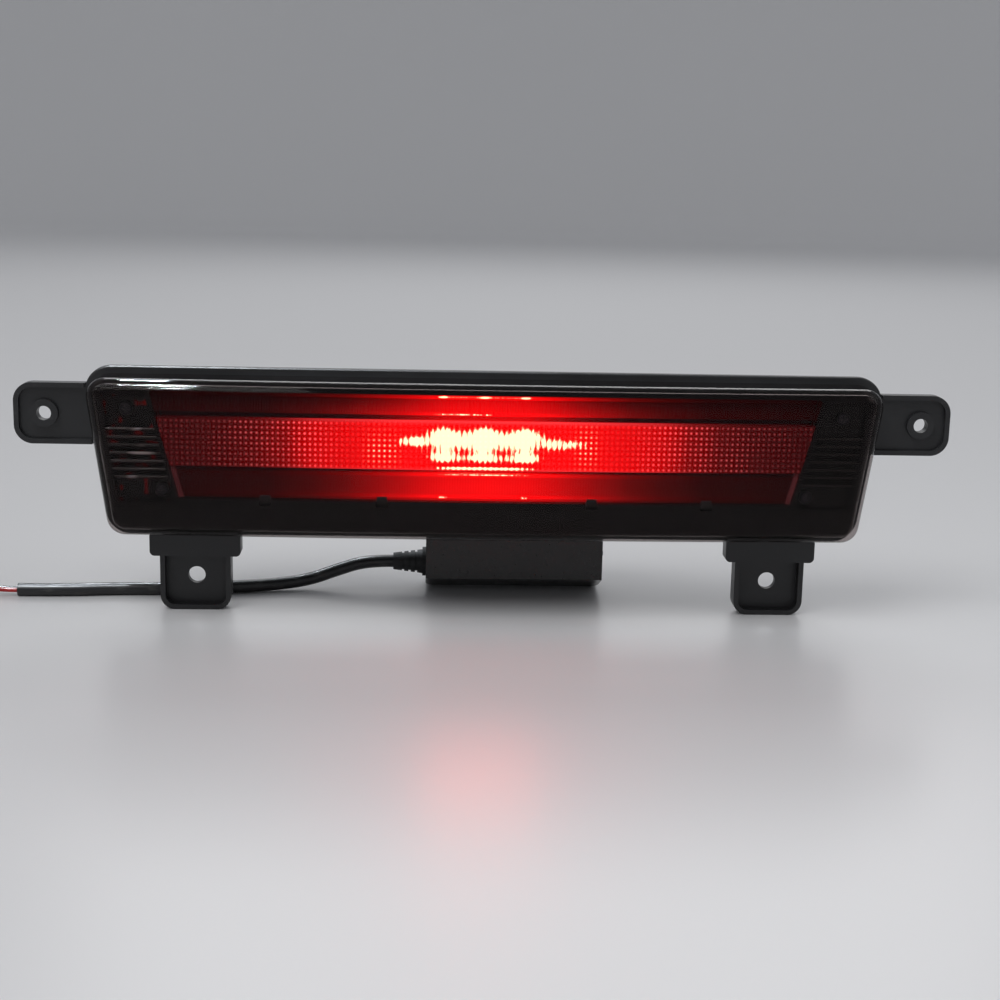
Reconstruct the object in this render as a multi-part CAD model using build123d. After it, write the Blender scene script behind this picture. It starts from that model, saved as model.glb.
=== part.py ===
"""Third brake light for a vehicle's tailgate, in millimetres.

+Z is up, +X runs along the lamp and the light shines towards -Y. The origin lies on the floor that the
lamp stands on, under the middle of its bounding box, measured without the pigtail cable and its plug.
"""

import os
from math import asin, degrees, pi, radians, sqrt, tan

from build123d import *

# ---------------------------------------------------------------- body outline, seen from the front
OVERALL_WIDTH = 379.0  # wing tip to wing tip
BODY_TOP = 99.3
BODY_BOTTOM = 30.4
BODY_HALF_TOP = 163.0
BODY_HALF_BOTTOM = 153.0
BODY_CORNER = 10.5

# ---------------------------------------------------------------- depth stations, front to rear
COVER_FRONT = -35.0
BEZEL_FRONT = -31.4
LENS_FRONT = -30.8
OPTIC_SEAT = -23.8  # front of the bezel floor and of the lens rim
LENS_REAR = -22.4
REFLECTOR_FRONT = -22.3
FLANGE_FRONT = -13.0
MOUNT_FACE = -10.0  # rear of the flange, wings and feet
TUB_REAR = 6.0
SCREW_HEAD = 1.9
CASE_REAR = 35.0 - SCREW_HEAD
BOW_RADIUS = 3750.0  # the front surfaces bow gently along X about one upright axis
BOW_AXIS = COVER_FRONT + BOW_RADIUS

# ---------------------------------------------------------------- walls
COVER_WALL = 2.2
COVER_INSET = 3.0  # the flange shows as a narrow lip round the cover
BEZEL_INSET = 5.7
BEZEL_WALL = 1.4
POCKET_INSET = 9.0
HOUSING_WALL = 2.4
FLANGE_ROUND = 0.8
TUB_INSET = 6.0
VENT = (-87.0, 68.0)  # X and Z of the breather
RIB_WIDTH = 1.6
RIB_HEIGHT = 2.0
SEAL_DEPTH = 1.0
GASKET_THICKNESS = 3.0

# ---------------------------------------------------------------- mounting wings and feet
WING_HOLE_SPACING = 355.0
WING_HOLE_DIAMETER = 5.8  # M5 clearance, coarse
WING_TOP = 92.4
WING_BOTTOM = 67.6
WING_CORNER = 7.5
WING_RIM = 2.0
WING_RIM_FRONT = -14.8
WING_BOSS_RADIUS = 5.6
FOOT_SPACING = 235.6
FOOT_HOLE_DIAMETER = 7.0  # M6 clearance, coarse
FOOT_HOLE_HEIGHT = 13.6
FOOT_WIDTH = 28.6
FOOT_CORNER = 6.0
FOOT_RIM = 2.0
FOOT_FRONT = -17.5
FOOT_BLOCK_WIDTH = 36.8
FOOT_BLOCK_BOTTOM = 22.4
FOOT_BLOCK_TOP = 32.6

# ---------------------------------------------------------------- optics
LENS_TOP = 91.8
LENS_BOTTOM = 49.4
LENS_HALF_TOP = 133.7
LENS_HALF_BOTTOM = 122.4
LENS_CORNER = 1.6
LENS_RIM = 1.1
BAND_TOP = 81.3  # the raised prism band
BAND_BOTTOM = 62.0
GROOVE_UPPER = 2.5
GROOVE_LOWER = 1.8
LENS_LIP = 1.5
WINDOW_GAP = 0.3
LIGHT_HEIGHT = (BAND_TOP + BAND_BOTTOM) / 2
LED_PITCH = 16.3
LED_X = {"left": -LED_PITCH, "centre": 0.0, "right": LED_PITCH}
CLIP_X = (-88.2, -41.9, 41.9, 88.2)
OPTIC_SCREWS = ((129.5, 51.5), (143.0, 84.0))  # X and Z, mirrored to the other side
LOUVRE_PITCH = 3.2
LOUVRE_COUNT = 7
LOUVRE_FIRST = 56.6
LOUVRE_THICKNESS = 1.1
LOUVRE_FRONT = OPTIC_SEAT - 4.6
LOUVRE_ROUND = 0.45

# ---------------------------------------------------------------- light board and driver case
BOARD_HALF = 42.0
BOARD_HEIGHT = 14.0
BOARD_THICKNESS = 1.6
BOARD_REAR = -3.4
BOARD_SCREW_X = 30.0
HEADER_X = 38.0
INNER_LEAD_DIAMETER = 1.6
INNER_LEAD_Y = BOARD_REAR + 2.7
CASE_LEFT = -24.0
CASE_RIGHT = 51.0
CASE_TOP = 57.5
CASE_BOTTOM_FRONT = 8.0  # the floor of the case slopes down to a heel at the rear
CASE_HEEL = 7.0
CASE_WALL = 2.0
CASE_CORNER = 3.0
LID_THICKNESS = 2.0
CASE_SEAL = 0.6
CASE_OPEN = CASE_REAR - LID_THICKNESS - CASE_SEAL
WIRE_HOLE_HEIGHT = 49.5
WIRE_HOLE_RADIUS = 4.0
EAR_X = (CASE_LEFT + 6.0, CASE_RIGHT - 6.0)
EAR_HEIGHT = 61.5
DRIVER_BOARD_FRONT = 20.0

# ---------------------------------------------------------------- pigtail
CABLE_DIAMETER = 5.4
CABLE_EXIT = (-38.0, 20.0, 12.0)
CABLE_HOLE_RADIUS = 4.0
GROMMET_RADIUS = 5.2
LEAD_DIAMETER = 1.9
TAIL_END = -17.0  # where the sheath ends inside the case
LEAD_GAP = 2.4  # between the two leads' centres where they leave the sheath
PLUG_REAR = -216.0
PLUG_LENGTH = 26.0
PLUG_WIDTH = 14.0
PLUG_HEIGHT = 10.6
PLUG_Y = 0.0
TERMINAL_PITCH = 5.0
LEAD_ENTRY = 4.4  # height of the terminals in the plug
SEAL_RADIUS = 2.1
LATCH_AXIS = (PLUG_REAR - PLUG_LENGTH + 4.0, PLUG_HEIGHT + 0.4)  # X and Z of the latch's pivot
LATCH_HALF = 2.45
LATCH_LENGTH = 14.2
LOCK_BOX = (PLUG_REAR - 16.0, PLUG_REAR - 11.0, 2.2, 6.6)  # X and Z of the terminal lock
LOCK_INNER = 3.5  # how near the plug's middle its inner end comes
CABLE_ROUTE = [
    CABLE_EXIT,
    (-49.0, 20.0, 12.0),
    (-61.0, 19.2, 8.4),
    (-74.0, 16.8, 4.0),
    (-90.0, 12.6, CABLE_DIAMETER / 2),
    (-110.0, 8.0, CABLE_DIAMETER / 2),
    (-132.0, 5.0, CABLE_DIAMETER / 2),
    (-154.0, 4.4, CABLE_DIAMETER / 2),
    (-175.0, 1.2, CABLE_DIAMETER / 2),
    (-194.0, 1.2, CABLE_DIAMETER / 2),
]


# ---------------------------------------------------------------- helpers
def tapered(half_top, half_bottom, top, bottom, inset=0.0, radius=1.0):
    """A trapezoid in X and Z, moved in by inset on every side, with rounded corners."""
    slope = (half_top - half_bottom) / (top - bottom)
    shift = inset * sqrt(1 + slope**2)
    high, low = top - inset, bottom + inset

    def half(z):
        return half_bottom + slope * (z - bottom) - shift

    corners = [(-half(high), high), (half(high), high), (half(low), low), (-half(low), low)]
    return fillet(Polygon(*corners, align=None).vertices(), radius)


def body_outline(inset=0.0):
    return tapered(
        BODY_HALF_TOP, BODY_HALF_BOTTOM, BODY_TOP, BODY_BOTTOM, inset, max(1.0, BODY_CORNER - inset)
    )


def lens_outline(inset=0.0):
    return tapered(
        LENS_HALF_TOP, LENS_HALF_BOTTOM, LENS_TOP, LENS_BOTTOM, inset, max(0.4, LENS_CORNER - inset)
    )


def slab(sketch, front, rear):
    """The solid between two Y stations whose X-Z outline is the sketch."""
    return Pos(0, rear, 0) * extrude(Plane.XZ * sketch, amount=rear - front, dir=(0, -1, 0))


def rectangle(x0, x1, z0, z1):
    return Pos((x0 + x1) / 2, (z0 + z1) / 2) * Rectangle(x1 - x0, z1 - z0)


def block(x0, x1, y0, y1, z0, z1):
    return Pos((x0 + x1) / 2, (y0 + y1) / 2, (z0 + z1) / 2) * Box(x1 - x0, y1 - y0, z1 - z0)


def post(x, z, front, rear, radius):
    """A round post along Y."""
    return slab(Pos(x, z) * Circle(radius), front, rear)


def bowed(points, half_width=170.0):
    """The solid that a Y-Z section sweeps about the bow's upright axis."""
    reach = degrees(asin(half_width / BOW_RADIUS))
    axis = Axis((0, BOW_AXIS, 0), (0, 0, 1))
    section = Plane.YZ * Polygon(*points, align=None)
    return revolve(section, axis, revolution_arc=2 * reach).rotate(axis, -reach)


def behind_bow(front):
    """Everything behind a bowed surface whose middle is at front."""
    return bowed([(front, -5.0), (60.0, -5.0), (60.0, 110.0), (front, 110.0)])


def both_sides(shape):
    return shape + mirror(shape, about=Plane.YZ)


def pan_screw(x, z, head_rear, length, shank=1.5, head=2.6, towards=1.0):
    """A pan-head screw along Y. towards is +1 where its shank runs to +Y from the head's seat."""
    tip = head_rear + towards * length
    top = head_rear - towards * SCREW_HEAD
    shape = post(x, z, min(head_rear, tip), max(head_rear, tip), shank)
    cap = post(x, z, min(head_rear, top), max(head_rear, top), head)
    rim = cap.faces().sort_by(Axis.Y)[0 if towards > 0 else -1].edges()
    cap = fillet(rim, 0.8)
    recess_a = Pos(x, top, z) * Box(2.8, 2.0, 0.7)
    recess_b = Pos(x, top, z) * Box(0.7, 2.0, 2.8)
    return shape + cap - recess_a - recess_b


def rounded_route(points, share=0.45):
    """Straight runs joined by tangent arcs as large as their runs allow, and the arcs' radii."""
    ends = [Vector(p) for p in points]
    runs = [b - a for a, b in zip(ends, ends[1:])]
    radii = []
    for before, after in zip(runs, runs[1:]):
        turn = radians(before.get_angle(after))
        radii.append(share * min(before.length, after.length) / tan(turn / 2))
    return FilletPolyline(*points, radius=radii), radii


def tube(path, diameter):
    start = path.edges()[0]
    section = Plane(origin=start @ 0, z_dir=start % 0) * Circle(diameter / 2)
    return sweep(section, path=path)


# ---------------------------------------------------------------- housing
def wing():
    """The right-hand mounting wing, with its stiffening rim and the boss round its hole."""
    tip = OVERALL_WIDTH / 2
    root = BODY_HALF_BOTTOM - TUB_INSET
    sketch = rectangle(root, tip, WING_BOTTOM, WING_TOP)
    outline = fillet(sketch.vertices().group_by(Axis.X)[-1], WING_CORNER)
    inner = rectangle(root - 1.0, tip - WING_RIM, WING_BOTTOM + WING_RIM, WING_TOP - WING_RIM)
    inner = fillet(inner.vertices().group_by(Axis.X)[-1], WING_CORNER - WING_RIM)
    plate = slab(outline, FLANGE_FRONT, MOUNT_FACE)
    rim = slab(outline - inner, WING_RIM_FRONT, FLANGE_FRONT)
    boss = post(WING_HOLE_SPACING / 2, wing_height(), WING_RIM_FRONT, FLANGE_FRONT, WING_BOSS_RADIUS)
    rim = rim + boss - slab(body_outline(-0.2), WING_RIM_FRONT, FLANGE_FRONT)
    hole = post(WING_HOLE_SPACING / 2, wing_height(), -20.0, 0.0, WING_HOLE_DIAMETER / 2)
    return plate + rim - hole


def wing_height():
    return (WING_TOP + WING_BOTTOM) / 2


def foot():
    """The right-hand foot: a drilled plate with a forward rim, hung from a cored block."""
    middle = FOOT_SPACING / 2
    half, block_half = FOOT_WIDTH / 2, FOOT_BLOCK_WIDTH / 2
    outline = rectangle(middle - half, middle + half, 0.0, FOOT_BLOCK_TOP)
    outline = fillet(outline.vertices().group_by(Axis.Y)[0], FOOT_CORNER)
    inner = rectangle(middle - half + FOOT_RIM, middle + half - FOOT_RIM, FOOT_RIM, 50.0)
    inner = fillet(inner.vertices().group_by(Axis.Y)[0], FOOT_CORNER - FOOT_RIM)
    plate = slab(outline, FLANGE_FRONT, MOUNT_FACE)
    rim = slab(outline - inner, FOOT_FRONT, FLANGE_FRONT)
    top = rectangle(middle - block_half, middle + block_half, FOOT_BLOCK_BOTTOM, FOOT_BLOCK_TOP)
    lug = slab(fillet(top.vertices(), 2.0), FOOT_FRONT, MOUNT_FACE)
    for side in (-1, 1):
        core = rectangle(-6.6, 6.6, FOOT_BLOCK_BOTTOM + 2.4, FOOT_BLOCK_TOP - 3.4)
        lug -= slab(Pos(middle + side * 9.0, 0) * core, FOOT_FRONT + 2.4, MOUNT_FACE)
    hole = post(middle, FOOT_HOLE_HEIGHT, -25.0, 0.0, FOOT_HOLE_DIAMETER / 2)
    return plate + rim + lug - hole


def rear_ribs():
    """Low stiffening ribs on the back of the tub, clear of the driver case and the vent."""
    ribs = []
    half, front, rear = RIB_WIDTH / 2, TUB_REAR - 0.5, TUB_REAR + RIB_HEIGHT
    for x in (-128.0, -112.0, -62.0, -46.0, 72.0, 94.0, 116.0, 134.0):
        ribs.append(block(x - half, x + half, front, rear, 47.0, 89.0))
    for x0, x1 in ((-134.0, -40.0), (66.0, 140.0)):
        for z in (54.0, 82.0):
            ribs.append(block(x0, x1, front, rear, z - half, z + half))
    return Part() + ribs


def rear_housing():
    tub = slab(body_outline(TUB_INSET), MOUNT_FACE, TUB_REAR)
    tub = fillet(tub.faces().sort_by(Axis.Y)[-1].edges(), 2.0)
    hollow = slab(body_outline(TUB_INSET + HOUSING_WALL), FLANGE_FRONT, TUB_REAR - HOUSING_WALL)
    flange = slab(body_outline(), FLANGE_FRONT, MOUNT_FACE)
    flange = fillet(flange.faces().sort_by(Axis.Y)[0].edges(), FLANGE_ROUND)
    shape = flange + tub - hollow
    shape += both_sides(wing()) + both_sides(foot())
    inside = TUB_REAR - HOUSING_WALL
    for x, z in OPTIC_SCREWS:
        pillar = post(x, z, REFLECTOR_FRONT + 1.3, inside + 0.5, 3.4)
        pillar -= post(x, z, REFLECTOR_FRONT, inside - 10.0, 1.5)
        shape += both_sides(pillar)
    stud = post(BOARD_SCREW_X, LIGHT_HEIGHT, BOARD_REAR, inside + 0.5, 3.2)
    shape += both_sides(stud - post(BOARD_SCREW_X, LIGHT_HEIGHT, BOARD_REAR, inside, 1.5))
    shape += rear_ribs()
    for x in EAR_X:
        shape += post(x, EAR_HEIGHT, TUB_REAR - 8.0, TUB_REAR, 3.2)
        shape -= post(x, EAR_HEIGHT, TUB_REAR - 7.0, TUB_REAR, 1.5)
    groove = body_outline(COVER_INSET) - body_outline(COVER_INSET + COVER_WALL)
    shape -= slab(groove, FLANGE_FRONT, FLANGE_FRONT + SEAL_DEPTH)
    shape -= post(HEADER_X, WIRE_HOLE_HEIGHT, inside - 1.0, TUB_REAR + 1.0, WIRE_HOLE_RADIUS)
    return shape - post(*VENT, inside - 1.0, TUB_REAR + 1.0, 3.0)


def vent_plug():
    """The breather cap: a stem pushed into the housing and a round head with three slots."""
    x, z = VENT
    cap = post(x, z, TUB_REAR, TUB_REAR + 4.0, 7.5)
    cap = fillet(cap.faces().sort_by(Axis.Y)[-1].edges(), 1.2)
    for angle in (0, 60, 120):
        slot = Pos(x, TUB_REAR + 4.0, z) * Rot(0, angle, 0) * Box(9.0, 1.6, 0.9)
        cap -= slot
    return cap + post(x, z, TUB_REAR - HOUSING_WALL - 0.8, TUB_REAR, 2.98)


def cover_seal():
    ring = body_outline(COVER_INSET) - body_outline(COVER_INSET + COVER_WALL)
    return slab(ring, FLANGE_FRONT, FLANGE_FRONT + SEAL_DEPTH)


def mounting_gasket():
    ring = body_outline(0.9) - body_outline(TUB_INSET - 0.3)
    return slab(ring, MOUNT_FACE, MOUNT_FACE + GASKET_THICKNESS)


# ---------------------------------------------------------------- cover, bezel and optics
def outer_cover():
    outside = slab(body_outline(COVER_INSET), COVER_FRONT - 1.0, FLANGE_FRONT)
    outside &= behind_bow(COVER_FRONT)
    outside = fillet(outside.faces().sort_by(Axis.Y)[0].edges(), 6.0)
    inside = slab(body_outline(COVER_INSET + COVER_WALL), COVER_FRONT - 1.0, FLANGE_FRONT)
    inside &= behind_bow(COVER_FRONT + COVER_WALL)
    inside = fillet(inside.faces().sort_by(Axis.Y)[0].edges(), 3.6)
    return outside - inside


def end_pocket(grow=0.0):
    """The recess between the lens window and the right-hand end of the bezel."""
    outer = body_outline(POCKET_INSET - grow)
    window = lens_outline(-WINDOW_GAP - 1.6 + grow)
    half = rectangle(100.0, 170.0, 47.0 - grow, 90.2 + grow)
    return (outer & half) - window


def front_bezel():
    """The black mask: a bowed face with the lens window, end pockets with louvres, and a skirt."""
    face = slab(body_outline(BEZEL_INSET), BEZEL_FRONT - 1.0, OPTIC_SEAT + 1.4)
    face &= behind_bow(BEZEL_FRONT)
    face = chamfer(face.faces().sort_by(Axis.Y)[0].edges(), 1.2)
    face -= slab(body_outline(BEZEL_INSET + BEZEL_WALL), OPTIC_SEAT, 0.0) & behind_bow(-29.6)
    hollow = slab(body_outline(BEZEL_INSET + BEZEL_WALL), BEZEL_FRONT, 0.0)
    hollow &= behind_bow(BEZEL_FRONT + BEZEL_WALL)
    shape = face - hollow
    window_wall = lens_outline(-WINDOW_GAP - 1.6) & body_outline(BEZEL_INSET + 1.2)
    window_wall = slab(window_wall, BEZEL_FRONT + 0.5, OPTIC_SEAT - 0.1)
    shape += window_wall & behind_bow(BEZEL_FRONT)
    pocket_wall = slab(end_pocket(1.6), BEZEL_FRONT + 0.5, OPTIC_SEAT + 1.4)
    shape += both_sides(pocket_wall & behind_bow(BEZEL_FRONT + 0.1))
    shape -= both_sides(slab(end_pocket(), BEZEL_FRONT - 2.0, OPTIC_SEAT))
    skirt = body_outline(BEZEL_INSET) - body_outline(BEZEL_INSET + BEZEL_WALL)
    shape += slab(skirt, -26.0, FLANGE_FRONT - 0.1)
    pocket = end_pocket(0.4)
    for i in range(LOUVRE_COUNT):
        z = LOUVRE_FIRST + i * LOUVRE_PITCH
        fin = slab(pocket & rectangle(100.0, 170.0, z, z + LOUVRE_THICKNESS), LOUVRE_FRONT, OPTIC_SEAT + 0.4)
        fin = fillet(fin.edges().filter_by(Axis.X).group_by(Axis.Y)[0], LOUVRE_ROUND)
        shape += both_sides(fin)
    shape -= slab(lens_outline(-WINDOW_GAP), -40.0, OPTIC_SEAT + 5.0)
    rim_room = lens_outline(-LENS_RIM - 0.2)
    shape -= slab(rim_room & body_outline(BEZEL_INSET + BEZEL_WALL), OPTIC_SEAT, OPTIC_SEAT + 5.0)
    for x, z in OPTIC_SCREWS:
        shape += both_sides(post(x, z, OPTIC_SEAT, OPTIC_SEAT + 1.4, 4.0) - slab(rim_room, -30, 0))
        shape -= both_sides(post(x, z, OPTIC_SEAT - 6.0, OPTIC_SEAT, 3.1))
        shape -= both_sides(post(x, z, OPTIC_SEAT - 1.0, OPTIC_SEAT + 2.0, 1.7))
    for x in CLIP_X:
        shape -= block(x - 2.3, x + 2.3, -40.0, OPTIC_SEAT, LENS_BOTTOM - 3.0, LENS_BOTTOM)
    return shape


def lens_section():
    """Front-to-rear section of the red lens: three bands parted by grooves, with a lip at each edge."""
    low = LENS_BOTTOM + LENS_LIP
    high = LENS_TOP - LENS_LIP
    return [
        (LENS_REAR, LENS_BOTTOM),
        (-29.2, LENS_BOTTOM),
        (-29.2, low),
        (-28.0, low),
        (-29.4, BAND_BOTTOM - GROOVE_LOWER),
        (-27.0, BAND_BOTTOM - GROOVE_LOWER),
        (-27.0, BAND_BOTTOM),
        (LENS_FRONT, BAND_BOTTOM),
        (LENS_FRONT, BAND_TOP),
        (-27.0, BAND_TOP),
        (-27.0, BAND_TOP + GROOVE_UPPER),
        (-29.8, BAND_TOP + GROOVE_UPPER),
        (-28.0, high),
        (-28.8, high),
        (-28.8, LENS_TOP),
        (LENS_REAR, LENS_TOP),
    ]


def red_lens():
    front = bowed(lens_section()) & slab(lens_outline(), -36.0, LENS_REAR)
    hollow = slab(lens_outline(3.0), OPTIC_SEAT - 1.6, LENS_REAR)
    rim = lens_outline(-LENS_RIM) & body_outline(BEZEL_INSET + BEZEL_WALL + 0.1)
    return front - hollow + slab(rim - lens_outline(3.0), OPTIC_SEAT, LENS_REAR)


def lens_clips():
    """Four hooks that hold the lower edge of the lens in the bezel."""
    clips = []
    for x in CLIP_X:
        stem = block(x - 2.0, x + 2.0, -30.4, OPTIC_SEAT - 0.2, LENS_BOTTOM - 1.6, LENS_BOTTOM - 0.2)
        hook = block(x - 2.0, x + 2.0, -30.4, -29.4, LENS_BOTTOM - 0.6, LENS_BOTTOM + 1.3)
        clips.append(stem + hook)
    return clips


def reflector():
    """The metallised tray: a flat rim, and a trough that narrows to the light board."""
    rim_top = OPTIC_SCREWS[1][0] + 4.0
    rim_bottom = OPTIC_SCREWS[0][0] + 4.0
    rim = tapered(rim_top, rim_bottom, 91.9, 46.5, 0.0, 3.0)
    plate = slab(rim, REFLECTOR_FRONT, REFLECTOR_FRONT + 1.2)
    rear = BOARD_REAR - BOARD_THICKNESS - 2.2

    def trough(grow, back):
        half = BOARD_HEIGHT / 2
        mouth = tapered(124.0, 116.0, 89.6, 51.6, -grow, 2.0)
        floor = tapered(29.0, 29.0, LIGHT_HEIGHT + half, LIGHT_HEIGHT - half, -grow, 2.0)
        return loft([Plane.XZ.offset(-REFLECTOR_FRONT) * mouth, Plane.XZ.offset(-back) * floor])

    shape = plate + trough(1.2, rear) - trough(0.0, rear - 1.2)
    for x in LED_X.values():
        shape -= post(x, LIGHT_HEIGHT, rear - 3.0, rear + 1.0, 2.9)
    for x, z in OPTIC_SCREWS:
        shape -= both_sides(post(x, z, REFLECTOR_FRONT - 1.0, REFLECTOR_FRONT + 3.0, 1.7))
    return shape


def optic_screws():
    screws = []
    for x, z in OPTIC_SCREWS:
        for side in (-1, 1):
            screws.append(pan_screw(side * x, z, OPTIC_SEAT, 9.0, shank=1.49))
    return screws


# ---------------------------------------------------------------- light board
def led_board():
    board = rectangle(
        -BOARD_HALF, BOARD_HALF, LIGHT_HEIGHT - BOARD_HEIGHT / 2, LIGHT_HEIGHT + BOARD_HEIGHT / 2
    )
    shape = slab(fillet(board.vertices(), 1.5), BOARD_REAR - BOARD_THICKNESS, BOARD_REAR)
    hole = post(BOARD_SCREW_X, LIGHT_HEIGHT, BOARD_REAR - 3.0, BOARD_REAR + 1.0, 1.7)
    return shape - both_sides(hole)


def brake_led(x):
    front = BOARD_REAR - BOARD_THICKNESS
    base = block(x - 1.75, x + 1.75, front - 1.9, front, LIGHT_HEIGHT - 1.75, LIGHT_HEIGHT + 1.75)
    dome = Pos(x, front - 1.9, LIGHT_HEIGHT) * Sphere(1.5)
    keep = block(x - 2.0, x + 2.0, front - 4.0, front - 1.9, LIGHT_HEIGHT - 2, LIGHT_HEIGHT + 2)
    return base + (dome & keep)


def board_resistors():
    """Four surface-mounted resistors on the back of the light board."""
    return [
        block(x - 1.6, x + 1.6, BOARD_REAR, BOARD_REAR + 0.6, z - 0.8, z + 0.8)
        for x in (-38.5, -34.9)
        for z in (LIGHT_HEIGHT - 3.5, LIGHT_HEIGHT + 3.5)
    ]


def board_diode():
    body = block(-41.4, -36.4, BOARD_REAR, BOARD_REAR + 2.0, LIGHT_HEIGHT - 1.4, LIGHT_HEIGHT + 1.4)
    return chamfer(body.faces().sort_by(Axis.Y)[-1].edges(), 0.4)


def board_header():
    """The two-way wire header on the back of the light board, open downwards."""
    x0, x1 = HEADER_X - 3.6, HEADER_X + 3.6
    z0 = LIGHT_HEIGHT - 6.0
    shell = block(x0, x1, BOARD_REAR, BOARD_REAR + 5.4, z0, z0 + 7.0)
    for side in (-1, 1):
        x = HEADER_X + side * 1.5
        shell -= Pos(x, INNER_LEAD_Y, z0) * Cylinder(INNER_LEAD_DIAMETER / 2, 6.0)
    return shell


def inner_lead(side):
    """One lead from the header down and back through the housing to the driver board."""
    x = HEADER_X + side * 1.5
    points = [
        (x, INNER_LEAD_Y, LIGHT_HEIGHT - 3.0),
        (x, INNER_LEAD_Y, WIRE_HOLE_HEIGHT),
        (x, DRIVER_BOARD_FRONT - 5.0, WIRE_HOLE_HEIGHT),
    ]
    return tube(FilletPolyline(*points, radius=4.0), INNER_LEAD_DIAMETER)


def heat_sink():
    front, half = BOARD_REAR, 25.0
    z0, z1 = LIGHT_HEIGHT - 6.5, LIGHT_HEIGHT + 6.5
    shape = block(-half, half, front, front + 2.2, z0, z1)
    for i in range(13):
        x = -half + 1.0 + i * (2 * half - 2.0) / 12
        shape += block(x - 0.6, x + 0.6, front + 2.0, front + 6.2, z0, z1)
    return shape


def board_screws():
    head = BOARD_REAR - BOARD_THICKNESS
    return [
        pan_screw(x, LIGHT_HEIGHT, head, 7.5, shank=1.49, head=2.4)
        for x in (-BOARD_SCREW_X, BOARD_SCREW_X)
    ]


# ---------------------------------------------------------------- driver case on the back
def case_profile(front, rear, inset=0.0):
    """The case from the side, in Y and Z: its floor slopes down to a level heel."""
    heel = CASE_REAR - CASE_HEEL
    slope = CASE_BOTTOM_FRONT / (heel - TUB_REAR)
    lift = inset * sqrt(1 + slope**2)

    def floor(y):
        return max((heel - y) * slope + lift, inset)

    knee = min(max(heel - (inset - lift) / slope, front), rear)
    points = [(front, floor(front)), (knee, inset), (rear, inset), (rear, CASE_TOP - inset)]
    return points + [(front, CASE_TOP - inset)]


def case_solid(front, rear, inset=0.0):
    section = Plane.YZ * Polygon(*case_profile(front, rear, inset), align=None)
    width = CASE_RIGHT - CASE_LEFT - 2 * inset
    return Pos(CASE_LEFT + inset, 0, 0) * extrude(section, amount=width)


def lid_posts():
    """Centres of the four lid posts, in X and Z."""
    return [
        (x, z)
        for z, inset in ((6.2, 7.0), (CASE_TOP - 4.6, 4.6))
        for x in (CASE_LEFT + inset, CASE_RIGHT - inset)
    ]


def driver_case():
    outside = case_solid(TUB_REAR, CASE_OPEN)
    upright = outside.edges().filter_by(Axis.Y)
    outside = fillet(upright, CASE_CORNER)
    shape = outside - case_solid(TUB_REAR + CASE_WALL, CASE_OPEN + 0.1, CASE_WALL)
    for x, z in lid_posts():
        shape += post(x, z, CASE_OPEN - 11.0, CASE_OPEN, 3.0)
        shape -= post(x, z, CASE_OPEN - 9.0, CASE_OPEN, 1.5)
    for x in EAR_X:
        ear = Pos(x, EAR_HEIGHT - 4.0) * Rectangle(12.0, 8.0) + Pos(x, EAR_HEIGHT) * Circle(6.0)
        shape += slab(ear, TUB_REAR, TUB_REAR + 3.0)
        shape -= post(x, EAR_HEIGHT, TUB_REAR - 1.0, TUB_REAR + 5.0, 1.7)
    shape -= post(HEADER_X, WIRE_HOLE_HEIGHT, 0.0, TUB_REAR + 4.0, WIRE_HOLE_RADIUS)
    x, y, z = CABLE_EXIT
    entry = Pos(CASE_LEFT, y, z) * Rot(0, 90, 0) * Cylinder(CABLE_HOLE_RADIUS, 12.0)
    for height in (18.0, 26.0, 34.0, 42.0):
        shape += block(CASE_RIGHT - 0.5, CASE_RIGHT + 0.6, 10.0, 28.0, height, height + 1.6)
    return shape - entry


def case_lid():
    lid = case_solid(CASE_REAR - LID_THICKNESS, CASE_REAR)
    lid = fillet(lid.edges().filter_by(Axis.Y), CASE_CORNER)
    lid = chamfer(lid.faces().sort_by(Axis.Y)[-1].edges(), 0.6)
    panel = rectangle(CASE_LEFT + 11.0, CASE_RIGHT - 11.0, 14.0, CASE_TOP - 12.0)
    lid -= slab(fillet(panel.vertices(), 2.0), CASE_REAR - 0.7, CASE_REAR)
    for x, z in lid_posts():
        lid -= post(x, z, CASE_REAR - 5.0, CASE_REAR + 1.0, 1.7)
    return lid


def case_seal():
    ring = case_solid(CASE_OPEN, CASE_OPEN + CASE_SEAL, 0.15)
    ring -= case_solid(CASE_OPEN - 1.0, CASE_OPEN + 2.0, CASE_WALL)
    return ring


def lid_screws():
    return [pan_screw(x, z, CASE_REAR, 9.0, 1.49, 2.7, towards=-1.0) for x, z in lid_posts()]


def case_screws():
    return [pan_screw(x, EAR_HEIGHT, TUB_REAR + 3.0, 8.5, 1.49, 3.0, towards=-1.0) for x in EAR_X]


def wire_bush():
    """The rubber bush where the two inner leads pass from the housing into the case."""
    x, z = HEADER_X, WIRE_HOLE_HEIGHT
    front = TUB_REAR - HOUSING_WALL
    ring = post(x, z, front, TUB_REAR + CASE_WALL, WIRE_HOLE_RADIUS)
    return ring - slab(Pos(x, z) * SlotCenterToCenter(3.0, INNER_LEAD_DIAMETER), front, 20.0)


def driver_board():
    front = DRIVER_BOARD_FRONT
    return block(CASE_LEFT + 10.5, CASE_RIGHT - 8.5, front, front + 1.6, 10.0, 54.5)


def driver_supports():
    """Two spacers that stand the driver board off the front wall of the case."""
    return [
        post(x, 16.5, TUB_REAR + CASE_WALL, DRIVER_BOARD_FRONT, 2.6)
        for x in (CASE_LEFT + 16.0, CASE_RIGHT - 16.0)
    ]


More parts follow.
